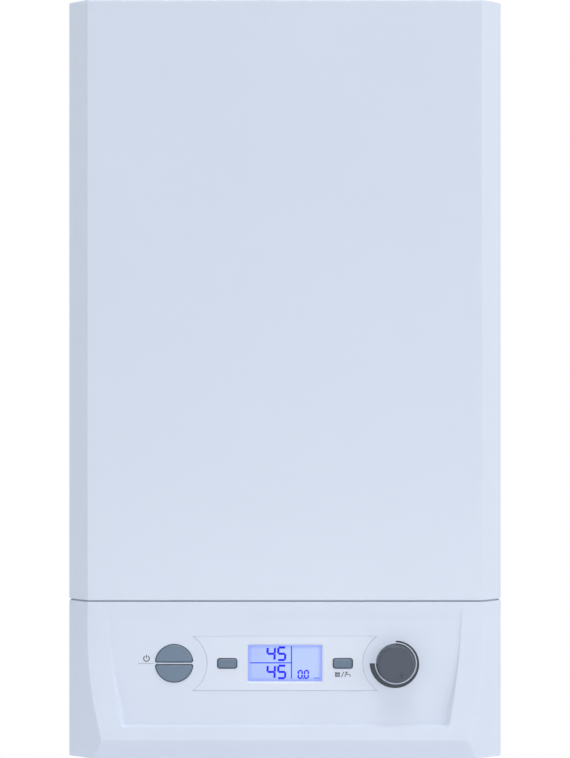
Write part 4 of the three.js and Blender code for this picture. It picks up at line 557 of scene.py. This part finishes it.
def fasciaSkin(inset, lift):
    # one skin of the panel: rows climb from the bottom edge, columns run from the right rear edge leftwards
    dishTop = panel["height"] - panel["dishTop"]
    sill = dishTop - panel["dishHeight"]
    rises, insets = fasciaRows(inset)
    front, crease = casing["frontPlane"] + softened(bulgeAt, rises), softened(creaseAt, rises)
    half, rear = casing["half"] + 0 * rises, casing["rear"] + 0 * rises
    spot = lambda x, forward: np.stack([x, forward], -1)
    # every plan line moves in by its row's inset: side by X, front by Y, chamfer along its own normal
    shoulder, edge = spot(half, casing["shoulder"] + 0 * rises), spot(crease, front)
    slope = unit(edge - shoulder)
    normal = spot(slope[:, 1], -slope[:, 0])
    sideX, frontY = half - insets, front - insets
    chamferFar = (shoulder * normal).sum(-1) - insets
    shoulder = spot(sideX, (chamferFar - sideX * normal[:, 0]) / normal[:, 1])
    edge = spot((chamferFar - frontY * normal[:, 1]) / normal[:, 0], frontY)
    back = spot(sideX, rear)
    bend = max(casing["bend"] - inset, 0.4)
    side = [back, back + (shoulder - back) * 0.5, *arcBetween(shoulder, back, edge, bend, 5)]
    side += [shoulder + (edge - shoulder) * s for s in (0.35, 0.68)]
    side += arcBetween(edge, shoulder, spot(0 * crease, frontY), bend, 7)
    # the dish: its floor curves forward towards the sill, its outline narrows downwards
    nearSill = np.clip(panel["floorRise"] - rises, 0, None) / (panel["floorRise"] - sill)
    depth = np.maximum(frontY - (floorFront - lift + panel["floorLift"] * nearSill ** 2), 0.0)
    share = np.clip((dishTop - rises) / panel["dishHeight"], 0, 1)
    wallHalf = panel["dishHalf"] - panel["dishNarrowing"] * share ** panel["dishPower"] + inset
    wide = np.maximum(panel["draft"] * depth, panel["leastDraft"])
    lastX = side[-1][:, 0]
    columns = [lastX + (wallHalf + 3 - lastX) * s for s in (0.35, 0.7, 1.0)]
    columns += [wallHalf - t * wide for t in (-0.16, -0.05, 0.06, 0.2, 0.5, 0.8, 0.94, 1.05, 1.18)]
    columns += [columns[-1] - d for d in (0.7, 1.5, 2.4, 3.4, 4.6, 6.5)]
    columns += [columns[-1] * s for s in np.linspace(1, 0, 12)[1:-1]]
    corner, sillWide = panel["dishCorner"], panel["sillWidth"]

    def step(t):
        # 0 before the wall, 1 past it, its kinks rounded
        spread = np.linspace(-1, 1, 9) * panel["wallSoftness"]
        return np.mean([np.clip(t + s, 0, 1) for s in spread], 0)

    def forwardAt(x):
        # from the front down to the floor by the distance inside the outline, with rounded lower corners
        a, b = wallHalf - np.abs(x), rises - (sill - inset)
        ra, rb = np.maximum(corner - a, 0), np.maximum(corner - b, 0)
        inCorner = (ra > 0) & (rb > 0)
        cornerWide = (wide * ra + sillWide * rb) / np.maximum(ra + rb, 1e-6)
        plain = np.minimum(a / wide, b / sillWide)
        lower = step(np.where(inCorner, (corner - np.hypot(ra, rb)) / cornerWide, plain))
        upper = step((dishTop + inset - rises) / panel["ramp"])
        return frontY - depth * np.minimum(lower, upper)

    rightHalf = side + [spot(x, forwardAt(x)) for x in columns]
    middle = [spot(0 * rises, forwardAt(0 * rises))]
    leftHalf = [c * [-1, 1] for c in rightHalf[::-1]]
    plan = np.stack(rightHalf + middle + leftHalf, 1)  # rows, columns, (x, forward)
    z = casing["bottom"] + np.broadcast_to(rises[:, None], plan.shape[:2])
    grid = np.stack([plan[..., 0], -plan[..., 1], z], -1)
    lid = lambda row: np.stack([row[:, 0], np.full(len(row), -casing["rear"]), row[:, 2]], -1)
    return np.concatenate([lid(grid[0])[None], grid, lid(grid[-1])[None]]) * mm


# ---- Outlines of the controls, and the holes for them
controls = {"moonX": -108.0, "keyX": (-56.3, 56.3), "knobX": 108.0}  # millimetres right of the middle
moonKeys = {"radius": 18.1, "low": 1.43, "corner": 2.0, "gap": 0.75, "crown": 0.25}
smallKeys = {"face": (18.3, 8.8, 2.0), "hole": (19.9, 10.4, 2.6), "crown": 0.15}  # width, height, corner
bezel = {"half": 90.0, "halfHeight": 26.5, "recess": 2.0, "recessMargin": 0.07, "plateMargin": -0.05,
         "proud": 0.4, "deep": 1.95, "edge": 0.6, "window": (72.3, 35.6, 1.4), "slant": 2.6, "slantFrom": 1.0}
pane = {"size": (72.1, 35.4, 1.3), "hole": (72, 35, 1.4), "front": 1.05, "back": 2.0, "edge": 0.1}
scale = {"inner": 20.5, "outer": 22.0, "gain": 3.6, "power": 1.5, "gap": 0.1, "recess": 0.8, "proud": 0.12,
         "deep": 0.7}
knob = {"radius": 18.6, "back": 323.4, "height": 13.0, "rim": 3.0, "axle": 3.0, "axleHole": 3.5}
knobRing = {"inner": 19.1, "outer": 20.4, "proud": 1.5, "foot": 0.3}


def halfMoon(side, margin=0.0, steps=44):
    # half a disc with its two corners rounded, anticlockwise
    radius, low, corner = moonKeys["radius"] + margin, moonKeys["low"] - margin, moonKeys["corner"]
    start = math.asin((low + corner) / (radius - corner))
    x = (radius - corner) * math.cos(start)
    loop = np.concatenate([
        circle(corner, 9, -math.pi / 2, start + math.pi / 2, True) + [x, low + corner],
        circle(radius, steps, start, math.pi - 2 * start, True)[1:],
        (circle(corner, 9, math.pi - start, math.pi / 2 + start, True) + [-x, low + corner])[1:]])
    return loop if side > 0 else (loop * [1, -1])[::-1]


def butterfly(margin=0.0, steps=40):
    # straight top and bottom, and at each end an arc about the round keys' or the knob's middle
    middle, high = controls["knobX"], bezel["halfHeight"]
    radius = math.hypot(middle - bezel["half"], high) - margin
    angle = math.asin((high + margin) / radius)
    turn = np.linspace(-angle, angle, steps)
    right = np.stack([middle - radius * np.cos(turn), radius * np.sin(turn)], -1)
    return np.concatenate([right, (right * [-1, 1])[::-1]])


def taperedArc(margin=0.0, steps=90):
    # from twelve o'clock clockwise through 270 degrees, its outer edge moving away as a power of the turn
    inner, share = scale["inner"], np.linspace(0, 1, steps)
    spread = margin / inner
    turn = math.pi / 2 + spread - (1.5 * math.pi + 2 * spread) * share
    outer = scale["outer"] + scale["gain"] * share ** scale["power"]
    spoke = np.stack([np.cos(turn), np.sin(turn)], -1)
    return np.concatenate([(spoke * (outer + margin)[:, None])[::-1], spoke * (inner - margin)])


def makeFascia():
    # an outer and an inner skin, closed along their open edges, with the controls' holes cut out
    outer, inner = fasciaSkin(0.0, 0.0), fasciaSkin(panel["wall"], panel["floorWall"])
    rows, columns = outer.shape[:2]
    vertices = np.concatenate([outer.reshape(-1, 3), inner.reshape(-1, 3)])
    faces = gridFaces(rows, columns) + gridFaces(rows, columns, rows * columns, turned=True)
    index = np.arange(rows * columns).reshape(rows, columns)
    rim = np.concatenate([index[0], index[1:, -1], index[-1, -2::-1], index[-2:0:-1, 0]])
    after = np.roll(rim, -1)
    faces += np.stack([rim, after, after + rows * columns, rim + rows * columns], 1).tolist()
    shell = finishPiece("fascia", tidyMesh("fascia", vertices, faces, 2e-6), "whitePlastic", 38.0)
    near, through = floorFront + 5, floorFront - 12
    holes = [(halfMoon(side, moonKeys["gap"]), controls["moonX"], near, through, 0) for side in (1, -1)]
    holes += [(butterfly(bezel["recessMargin"]), 0.0, near, floorFront - bezel["recess"], 0),
              (roundedRect(*pane["hole"]), 0.0, near, through, 0),
              (taperedArc(scale["gap"]), controls["knobX"], near, floorFront - scale["recess"], 0),
              (circle(knob["axleHole"], 24), controls["knobX"], near, through, 0)]
    holes += [(roundedRect(*smallKeys["hole"]), x, near, through, 0) for x in controls["keyX"]]
    cutHoles(shell, holes)
    return standFor(shell, "control_fascia")


fascia = makeFascia()
print("stage: panel front", len(fascia.data.polygons))


# ---- Bezel, keys, knob and scale
def makeBezel():
    # a thin plate with slanted edges round the display's window
    front, slant, lowest = floorFront + bezel["proud"], bezel["slant"], floorFront - 5
    plate = plug("bezel", butterfly(bezel["plateMargin"]), front, floorFront - bezel["deep"], "bezelPlastic",
                 bezel["edge"], 6)
    width, height, radius = bezel["window"]
    wider, slantBack = roundedRect(width + 2 * slant, height + 2 * slant, radius + slant), bezel["slantFrom"]
    holes = [(roundedRect(width, height, radius), 0.0, floorFront, lowest, 0),
             (wider, 0.0, floorFront - slantBack + slant, floorFront - slantBack, slant)]
    holes += [(roundedRect(*smallKeys["hole"]), x, floorFront + 3, lowest, 0) for x in controls["keyX"]]
    cutHoles(plate, holes)
    standFor(plate, "display_bezel")


def makePane():
    # a clear plate set back in the bezel's window
    plate = plug("pane", roundedRect(*pane["size"]), floorFront - pane["front"], floorFront - pane["back"],
                 "window", pane["edge"], 3)
    standFor(plate, "display_window")


press = {"proud": 1.7, "behind": 5.5, "bevel": 1.1}  # how every key stands in its hole


def makeKeys():
    # each key is a plug that stands proud of the dish, chamfered, its face slightly crowned
    front, back = floorFront + press["proud"], floorFront - press["behind"]
    small, (resetX, selectX) = roundedRect(*smallKeys["face"]), controls["keyX"]
    looks = [("power_button", halfMoon(1), "buttonGrey", moonKeys["crown"], controls["moonX"]),
             ("mode_button", halfMoon(-1), "buttonGrey", moonKeys["crown"], controls["moonX"]),
             ("reset_button", small, "keyGrey", smallKeys["crown"], resetX),
             ("select_button", small, "keyGrey", smallKeys["crown"], selectX)]
    for node, loop, finish, crown, x in looks:
        piece = plug(node + "_face", loop, front, back, finish, press["bevel"], 2, crown, (x, controlZ), 30.0)
        standFor(piece, node)


def makeScale():
    # the tapered arc, let into the dish and hardly proud of it
    arc = plug("scale_arc", taperedArc(), floorFront + scale["proud"], floorFront - scale["deep"], "darkGrey",
               scale["proud"], 3, 0.0, (controls["knobX"], controlZ))
    standFor(arc, "knob_scale")


def makeKnob():
    # a turned cap: straight skirt, a broad chamfer, a shallow dished face
    r, h, rim, axle = knob["radius"], knob["height"], knob["rim"], knob["axle"]
    skirt = [[0.0, -3], [axle, -3], [axle, 0], [r - 1.2, 0], [r - 0.5, 0.12], [r - 0.1, 0.5], [r, 1.0],
             [r - 0.15, h - rim]]
    chamfer = [[r - 0.3 - 0.7 * math.sin(a) ** 2 - 1.8 * (1 - math.cos(a)), h - rim + rim * math.sin(a)]
               for a in np.linspace(0.1, math.pi / 2, 9)]
    face = [[r - 3.6, h - 0.05], [r - 5.5, h - 0.3], [r * 0.5, h - 0.42], [0.0, h - 0.45]]
    at = (controls["knobX"], -knob["back"], controlZ)
    standFor(revolve("knob", [*skirt, *chamfer, *face], "slate", at), "control_knob")


def makeKnobRing():
    # a raised bead of the fascia's own plastic, between the knob and the scale
    inner, outer = knobRing["inner"], knobRing["outer"]
    front, foot = floorFront + knobRing["proud"], floorFront - knobRing["foot"]
    middle, half = (inner + outer) / 2, (outer - inner) / 2
    dome = [[middle + half * math.cos(a), front - half * (1 - math.sin(a))]
            for a in np.linspace(0, math.pi, 9)]
    profile = [[outer, foot], *dome, [inner, foot], [outer, foot]]
    ring = revolve("knob_ring", profile[::-1], "whitePlastic", (controls["knobX"], 0.0, controlZ))
    rideWith(ring, "control_fascia")


makeBezel()
makeKeys()
makeScale()
makePane()
makeKnob()
makeKnobRing()
print("stage: controls")


# ---- Marks: display figures, key symbols, pointer
def onPicture(column, row):
    # millimetres right of the middle and above the controls' middle, from a place in the picture
    right, down = column - camera["middleColumn"], row - camera["controlRow"]
    return right / camera["pixelsPerMm"], -down / camera["pixelsPerMm"]


def strokeMesh(name, paths, width, front, thickness, finish, body="panel", x=0.0):
    # flat strokes of a width along lines, as thin closed prisms
    vertices, faces = [], []
    for path in paths:
        line = np.asarray(path, float)
        along = unit(np.gradient(line, axis=0))
        side = along[:, ::-1] * [-1, 1] * width / 2
        left, right = line + side + [x, controlZ], line - side + [x, controlZ]
        n, start, back = len(line), len(vertices), front - thickness
        ring = [toWorld(left, front), toWorld(right, front), toWorld(right, back), toWorld(left, back)]
        vertices.extend(np.concatenate(ring).tolist())
        for i in range(n - 1):
            for k in range(4):
                a, b = start + k * n + i, start + ((k + 1) % 4) * n + i
                faces.append([a, b, b + 1, a + 1])
        faces += [[start + k * n for k in range(4)][::-1], [start + k * n + n - 1 for k in range(4)]]
    piece = finishPiece(name, tidyMesh(name, vertices, faces, 1e-7), finish)
    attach(piece, body)


segments = {"4": "bcfg", "5": "acdfg", "0": "abcdef"}  # the lit bars of each seven-segment figure


def figure(symbol, x, z, width, height, gap=0.35, lean=0.05):
    # the bars of one figure whose lower left corner is at x, z; it leans a little to the right
    half = height / 2
    points = {"a": [(gap, height), (width - gap, height)], "g": [(gap, half), (width - gap, half)],
              "d": [(gap, 0), (width - gap, 0)], "f": [(0, half + gap), (0, height - gap)],
              "b": [(width, half + gap), (width, height - gap)], "e": [(0, gap), (0, half - gap)],
              "c": [(width, gap), (width, half - gap)]}
    return [[(x + u + lean * v, z + v) for u, v in points[bar]] for bar in segments[symbol]]


crystal = {  # columns and rows of the picture; sizes and strokes in millimetres
    "face": 319.06, "deep": 0.05, "largeRows": (660.5, 678.7), "largeStroke": 2.15,
    "large": [("4", 266.9, (7.1, 12.2)), ("5", 277.6, (7.0, 12.2))], "smallRow": 678.7, "smallStroke": 1.55,
    "smallColumns": (298.0, 304.2), "smallSize": (3.6, 7.4), "point": (302.6, 679.0), "pointLength": 0.9,
    "lines": [[(249.7, 663.3), (290.8, 663.3)], [(291.3, 679.2), (291.3, 646.7)]], "lineStroke": 1.1,
    "dashes": (314.2, 315.4), "dashRow": 678.6, "dashPitch": 1.9, "dashCount": 3}


def makeDisplayMarks():
    # two large numbers left of the lines, a small one below on the right, and three short strokes after it
    face, deep, slot = crystal["face"], crystal["deep"], "display_blue"
    large, small = [], []
    for row in crystal["largeRows"]:
        for symbol, column, size in crystal["large"]:
            large += figure(symbol, *onPicture(column, row), *size)
    strokeMesh("display_figures", large, crystal["largeStroke"], face, deep, "litBlue")
    for column in crystal["smallColumns"]:
        small += figure("0", *onPicture(column, crystal["smallRow"]), *crystal["smallSize"])
    x, z = onPicture(*crystal["point"])
    small.append([(x, z), (x + crystal["pointLength"], z)])
    strokeMesh("display_figures_small", small, crystal["smallStroke"], face, deep, "litBlue")
    row, pitch = crystal["dashRow"], crystal["dashPitch"]
    dashes = [[(column + pitch * k, row) for column in crystal["dashes"]]
              for k in range(crystal["dashCount"])]
    lines = [[onPicture(*spot) for spot in path] for path in [*crystal["lines"], *dashes]]
    strokeMesh("display_lines", lines, crystal["lineStroke"], face, deep, "litLine")


printed = {  # columns and rows of the picture; sizes and strokes in millimetres
    "proud": 0.03, "deep": 0.05, "power": (146.2, 658.6), "powerRadius": 2.75, "powerGap": 70.0,
    "powerBar": (3.6, 0.4), "powerStroke": 0.95, "line": [(138.0, 663.7), (153.4, 663.7)], "lineStroke": 0.5,
    "barColumn": 335.2, "barPitch": 1.35, "barCount": 4, "barRows": (672.3, 677.0), "signStroke": 0.75,
    "radiator": [[(334.9, 673.3), (339.6, 673.3)], [(334.9, 676.2), (339.6, 676.2)]],
    "slash": [[(341.2, 677.4), (343.6, 671.9)]],
    "tap": [[(344.6, 674.4), (349.0, 674.4), (349.9, 675.2), (349.9, 676.9)],
            [(346.2, 674.2), (346.2, 672.4)], [(344.8, 672.3), (347.7, 672.3)],
            [(345.0, 675.2), (345.0, 677.0)]]}


def makeKeyMarks():
    # printed marks on the dish: a power sign over a thin line, a radiator, a slash and a tap
    face, deep = floorFront + printed["proud"], printed["deep"]
    x, z = onPicture(*printed["power"])
    start, sweep = 90 + printed["powerGap"] / 2, 360 - printed["powerGap"]
    ring = circle(printed["powerRadius"], 30, math.radians(start), math.radians(sweep), True) + [x, z]
    bar = [(x, z + up) for up in printed["powerBar"]]
    strokeMesh("power_sign", [ring, bar], printed["powerStroke"], face, deep, "darkGrey")
    line = [onPicture(*spot) for spot in printed["line"]]
    strokeMesh("key_line", [line], printed["lineStroke"], face, deep, "greyPlastic")
    columns = [printed["barColumn"] + printed["barPitch"] * k for k in range(printed["barCount"])]
    bars = [[(column, row) for row in printed["barRows"]] for column in columns]
    paths = [*bars, *printed["radiator"], *printed["slash"], *printed["tap"]]
    signs = [[onPicture(*spot) for spot in path] for path in paths]
    strokeMesh("heat_and_water_signs", signs, printed["signStroke"], face + bezel["proud"], deep, "darkGrey")


pointer = {"turn": 155.0, "from": 10.2, "to": 15.0, "stroke": 1.0, "proud": 0.06, "deep": 0.7}


def makePointer():
    # a short dark line let into the knob's face, turned clockwise from the top
    turn = math.radians(pointer["turn"])
    way = np.array([math.sin(turn), math.cos(turn)])
    path = [way * pointer["from"], way * pointer["to"]]
    front = knob["back"] + knob["height"] + pointer["proud"]
    strokeMesh("knob_pointer", [path], pointer["stroke"], front, pointer["deep"], "darkGrey", "knob",
               controls["knobX"])


makeDisplayMarks()
makeKeyMarks()
makePointer()
print("stage: marks")


# ---- Cover and the rest of the casing
seam = {"setBack": 3.6, "thickness": 1.4, "low": -531.5, "high": -527.7, "rearGap": 4.0}


def makeSeamLip():
    # a thin upright lip on the panel's top edge, set back from its face, closing the seam under the cover
    back, rear = seam["setBack"], casing["rear"] + seam["rearGap"]
    plan = [(casing["half"], rear), (casing["half"], casing["shoulder"]),
            (casing["half"] - casing["chamfer"], casing["frontPlane"])]
    plan = np.array(plan + [(-x, y) for x, y in plan[::-1]])
    outer, inner = -offsetLoop(-plan, back), -offsetLoop(-plan, back + seam["thickness"])
    outer[[0, -1], 1] = inner[[0, -1], 1] = rear
    loop = np.concatenate([outer, inner[::-1]])
    spot = lambda z: np.column_stack([loop[:, 0], -loop[:, 1], np.full(len(loop), z)]) * mm
    n, half = len(loop), len(plan)
    faces = [[i, (i + 1) % n, n + (i + 1) % n, n + i] for i in range(n)]
    for start, turned in ((0, False), (n, True)):
        caps = [[start + i, start + i + 1, start + n - 2 - i, start + n - 1 - i] for i in range(half - 1)]
        faces += [cap[::-1] for cap in caps] if turned else caps
    mesh = tidyMesh("seam_lip", np.concatenate([spot(seam["low"]), spot(seam["high"])]), faces)
    rideWith(finishPiece("seam_lip", mesh, "whitePlastic"), "control_fascia")


def atTop(e):
    # an edge of the cover's top fold, apart from those along its rear
    z, y = casing["top"] * mm - 1e-5, -(casing["rear"] + 1.0) * mm
    return all(v.co.z > z for v in e.verts) and not all(v.co.y > y for v in e.verts)


def evenNormals(pieces):
    # flat faces keep their own normals and the rounded edges take them up: normals weighted by face area
    for piece in pieces:
        modifier = piece.modifiers.new("weighted", "WEIGHTED_NORMAL")
        modifier.keep_sharp, modifier.weight = True, 80
    bpy.context.view_layer.update()
    graph = bpy.context.evaluated_depsgraph_get()
    meshes = [bpy.data.meshes.new_from_object(piece.evaluated_get(graph)) for piece in pieces]
    for piece, mesh in zip(pieces, meshes):
        piece.modifiers.clear()
        piece.data = mesh


dressed = {  # node: finish, edge radius in millimetres, segments
    "left_side_panel": ("whitePaint", 0.8, 3), "right_side_panel": ("whitePaint", 0.8, 3),
    "top_panel": ("whitePaint", 0.8, 3), "wall_bracket": ("zinc", 0.5, 2), "hook_rail": ("zinc", 0.5, 2),
    "rear_frame": ("zinc", 0.4, 2), "bottom_plate": ("zinc", 0.4, 2), "cross_rail": ("zinc", 0.4, 2),
    "case_gasket": ("rubber", 0.8, 2), "flue_collar": ("blackPlastic", 0.5, 2),
    "cover_screw_left": ("zinc", 0.2, 2), "cover_screw_right": ("zinc", 0.2, 2),
    "display_board": ("boardGreen", 0.2, 1), "main_board": ("boardGreen", 0.3, 2),
    "control_box": ("blackPlastic", 0.6, 2), "box_gland": ("rubber", 0.4, 2),
    "expansion_vessel": ("redPaint", 1.2, 3), "hanger_bracket": ("zinc", 0.5, 2),
    "heat_exchanger": ("composite", 2.5, 3), "flue_pipe": ("greyPlastic", 0.4, 2),
    "burner_door": ("aluminium", 0.9, 3), "premix_burner": ("stainless", 0.5, 2),
    "ignition_electrode": ("ceramic", 0.3, 2), "flame_electrode": ("ceramic", 0.3, 2),
    "fan_housing": ("aluminium", 1.4, 3), "fan_impeller": ("blackPlastic", 0.3, 2),
    "fan_motor": ("blackPlastic", 0.6, 2), "mixture_duct": ("aluminium", 0.8, 2),
    "venturi": ("greyPlastic", 0.8, 2), "gas_valve": ("aluminium", 1.2, 3),
    "mixture_pipe": ("aluminium", 0.3, 2), "gas_pipe": ("copper", 0.4, 2),
    "vessel_hose": ("rubber", 0.4, 2), "flow_block": ("brass", 1.6, 3), "return_block": ("brass", 1.6, 3),
    "plate_exchanger": ("stainless", 0.5, 2), "pump_housing": ("greyPlastic", 1.4, 3),
    "pump_motor": ("blackPlastic", 1.0, 3), "flow_pipe": ("copper", 0.4, 2),
    "return_pipe": ("copper", 0.4, 2), "condensate_hose": ("greyPlastic", 0.3, 2),
    "condensate_trap": ("paleGrey", 0.6, 2), "diverter_motor": ("blackPlastic", 0.9, 3),
    "pressure_sensor": ("zinc", 0.5, 2), "safety_valve": ("brass", 0.6, 2),
    "safety_knob": ("redPlastic", 0.8, 3), "air_vent": ("brass", 0.6, 2),
    "fill_knob": ("bluePlastic", 0.8, 3), "supply_grommet": ("rubber", 0.4, 2),
    "lcd_module": ("displayBlue", 0.3, 2),
}
makeSeamLip()
cover = standFor(copyOf("front_cover", "whitePaint", 2.4, 5, 60.0, only=atTop), "front_cover")
copies = [standFor(copyOf(node, *look), node) for node, look in dressed.items()]
evenNormals([*copies, cover])
print("stage: casing and inner pieces", len(dressed))


# ---- Floor, backdrop and lamps
studio = {"floorZ": -1050.0, "world": 0.6, "worldColor": (0.93, 0.96, 1.0, 1.0), "room": tone(244, 246, 250),
          "whiteFrom": (0.8, 1.7), "bend": 1.2, "bendFrom": 1.6, "wallTop": 9.0, "front": -8.0, "reach": 14.0,
          "target": (0.0, -0.3, -0.35), "lampColor": (1.0, 0.995, 0.985)}
lamps = {  # name: place, side, power
    "sideLamp": ((3.0, -1.4, 0.5), 1.6, 25.0), "leftLamp": ((-3.0, -1.4, 0.5), 1.6, 8.3),
    "topLamp": ((0.2, -1.15, 2.9), 1.6, 45.0), "lowLamp": ((0.1, -1.75, -0.98), 0.9, 5.2)}


def backdropFinish():
    # a pale floor that keeps the shadow, fading to white with the distance; clear from its back
    p = Paint("backdrop")
    white = (1.0, 1.0, 1.0, 1.0)
    plain = p.add("ShaderNodeBsdfPrincipled", {}, Roughness=0.9)
    p.feed(plain.inputs["Base Color"], p.mix(p.noise(0.7, 2.0), shade(studio["room"], 0.98), studio["room"]))
    glow = p.add("ShaderNodeEmission", {}, white, 1.0)
    lightPath = p.add("ShaderNodeLightPath", {})
    ray = lambda key: Value(p, lightPath.outputs[key])
    far = ((p.axis(0) ** 2 + p.axis(1) ** 2) ** 0.5).band(*studio["whiteFrom"])
    seen = (ray("Is Camera Ray") * far + ray("Is Glossy Ray") + ray("Is Transmission Ray")).band(0.0, 1.0)
    rear = p.add("ShaderNodeNewGeometry", {}).outputs["Backfacing"]
    clear = p.add("ShaderNodeBsdfTransparent", {})
    shown = p.choose(rear, p.choose(seen, plain.outputs[0], glow.outputs[0]), clear.outputs[0])
    p.tree.links.new(shown, p.output.inputs[0])
    return p.material


def makeStudio():
    # a pale sheet: flat floor, then a quarter turn up into a wall
    radius, depth, reach = studio["bend"], studio["bendFrom"], studio["reach"]
    turn = np.linspace(0, math.pi / 2, 14)
    bend = [(depth + radius * math.sin(a), radius * (1 - math.cos(a))) for a in turn]
    path = [(studio["front"], 0.0), *bend, (depth + radius, studio["wallTop"])]
    sheet = [(x, y, z + studio["floorZ"] * mm) for y, z in path for x in (-reach, reach)]
    mesh = bpy.data.meshes.new("backdrop")
    mesh.from_pydata(sheet, [], gridFaces(len(path), 2))
    material["backdrop"] = backdropFinish()
    finishPiece("backdrop", mesh, "backdrop")


def makeRoom():
    # a soft even light from all round, seen as white by the camera
    world = bpy.data.worlds.new("room")
    bpy.context.scene.world = world
    world.use_nodes = True
    tree = world.node_tree
    room, white = tree.nodes["Background"], tree.nodes.new("ShaderNodeBackground")
    room.inputs[0].default_value, room.inputs[1].default_value = studio["worldColor"], studio["world"]
    white.inputs[0].default_value = (1.0, 1.0, 1.0, 1.0)
    choice, lightPath = tree.nodes.new("ShaderNodeMixShader"), tree.nodes.new("ShaderNodeLightPath")
    tree.links.new(lightPath.outputs["Is Camera Ray"], choice.inputs[0])
    tree.links.new(room.outputs[0], choice.inputs[1])
    tree.links.new(white.outputs[0], choice.inputs[2])
    tree.links.new(choice.outputs[0], tree.nodes["World Output"].inputs[0])


def areaLamp(name, place, size, power):
    # a square lamp turned to the middle of the part, unseen by the camera
    data = bpy.data.lights.new(name, "AREA")
    data.shape, data.size, data.energy, data.color = "SQUARE", size, power, studio["lampColor"]
    lamp = bpy.data.objects.new(name, data)
    lamp.location = place
    lamp.visible_camera = False
    lamp.rotation_euler = (Vector(studio["target"]) - Vector(place)).to_track_quat("-Z", "Y").to_euler()
    bpy.context.scene.collection.objects.link(lamp)


makeStudio()
makeRoom()
for name, look in lamps.items():
    areaLamp(name, *look)
print("stage: studio")
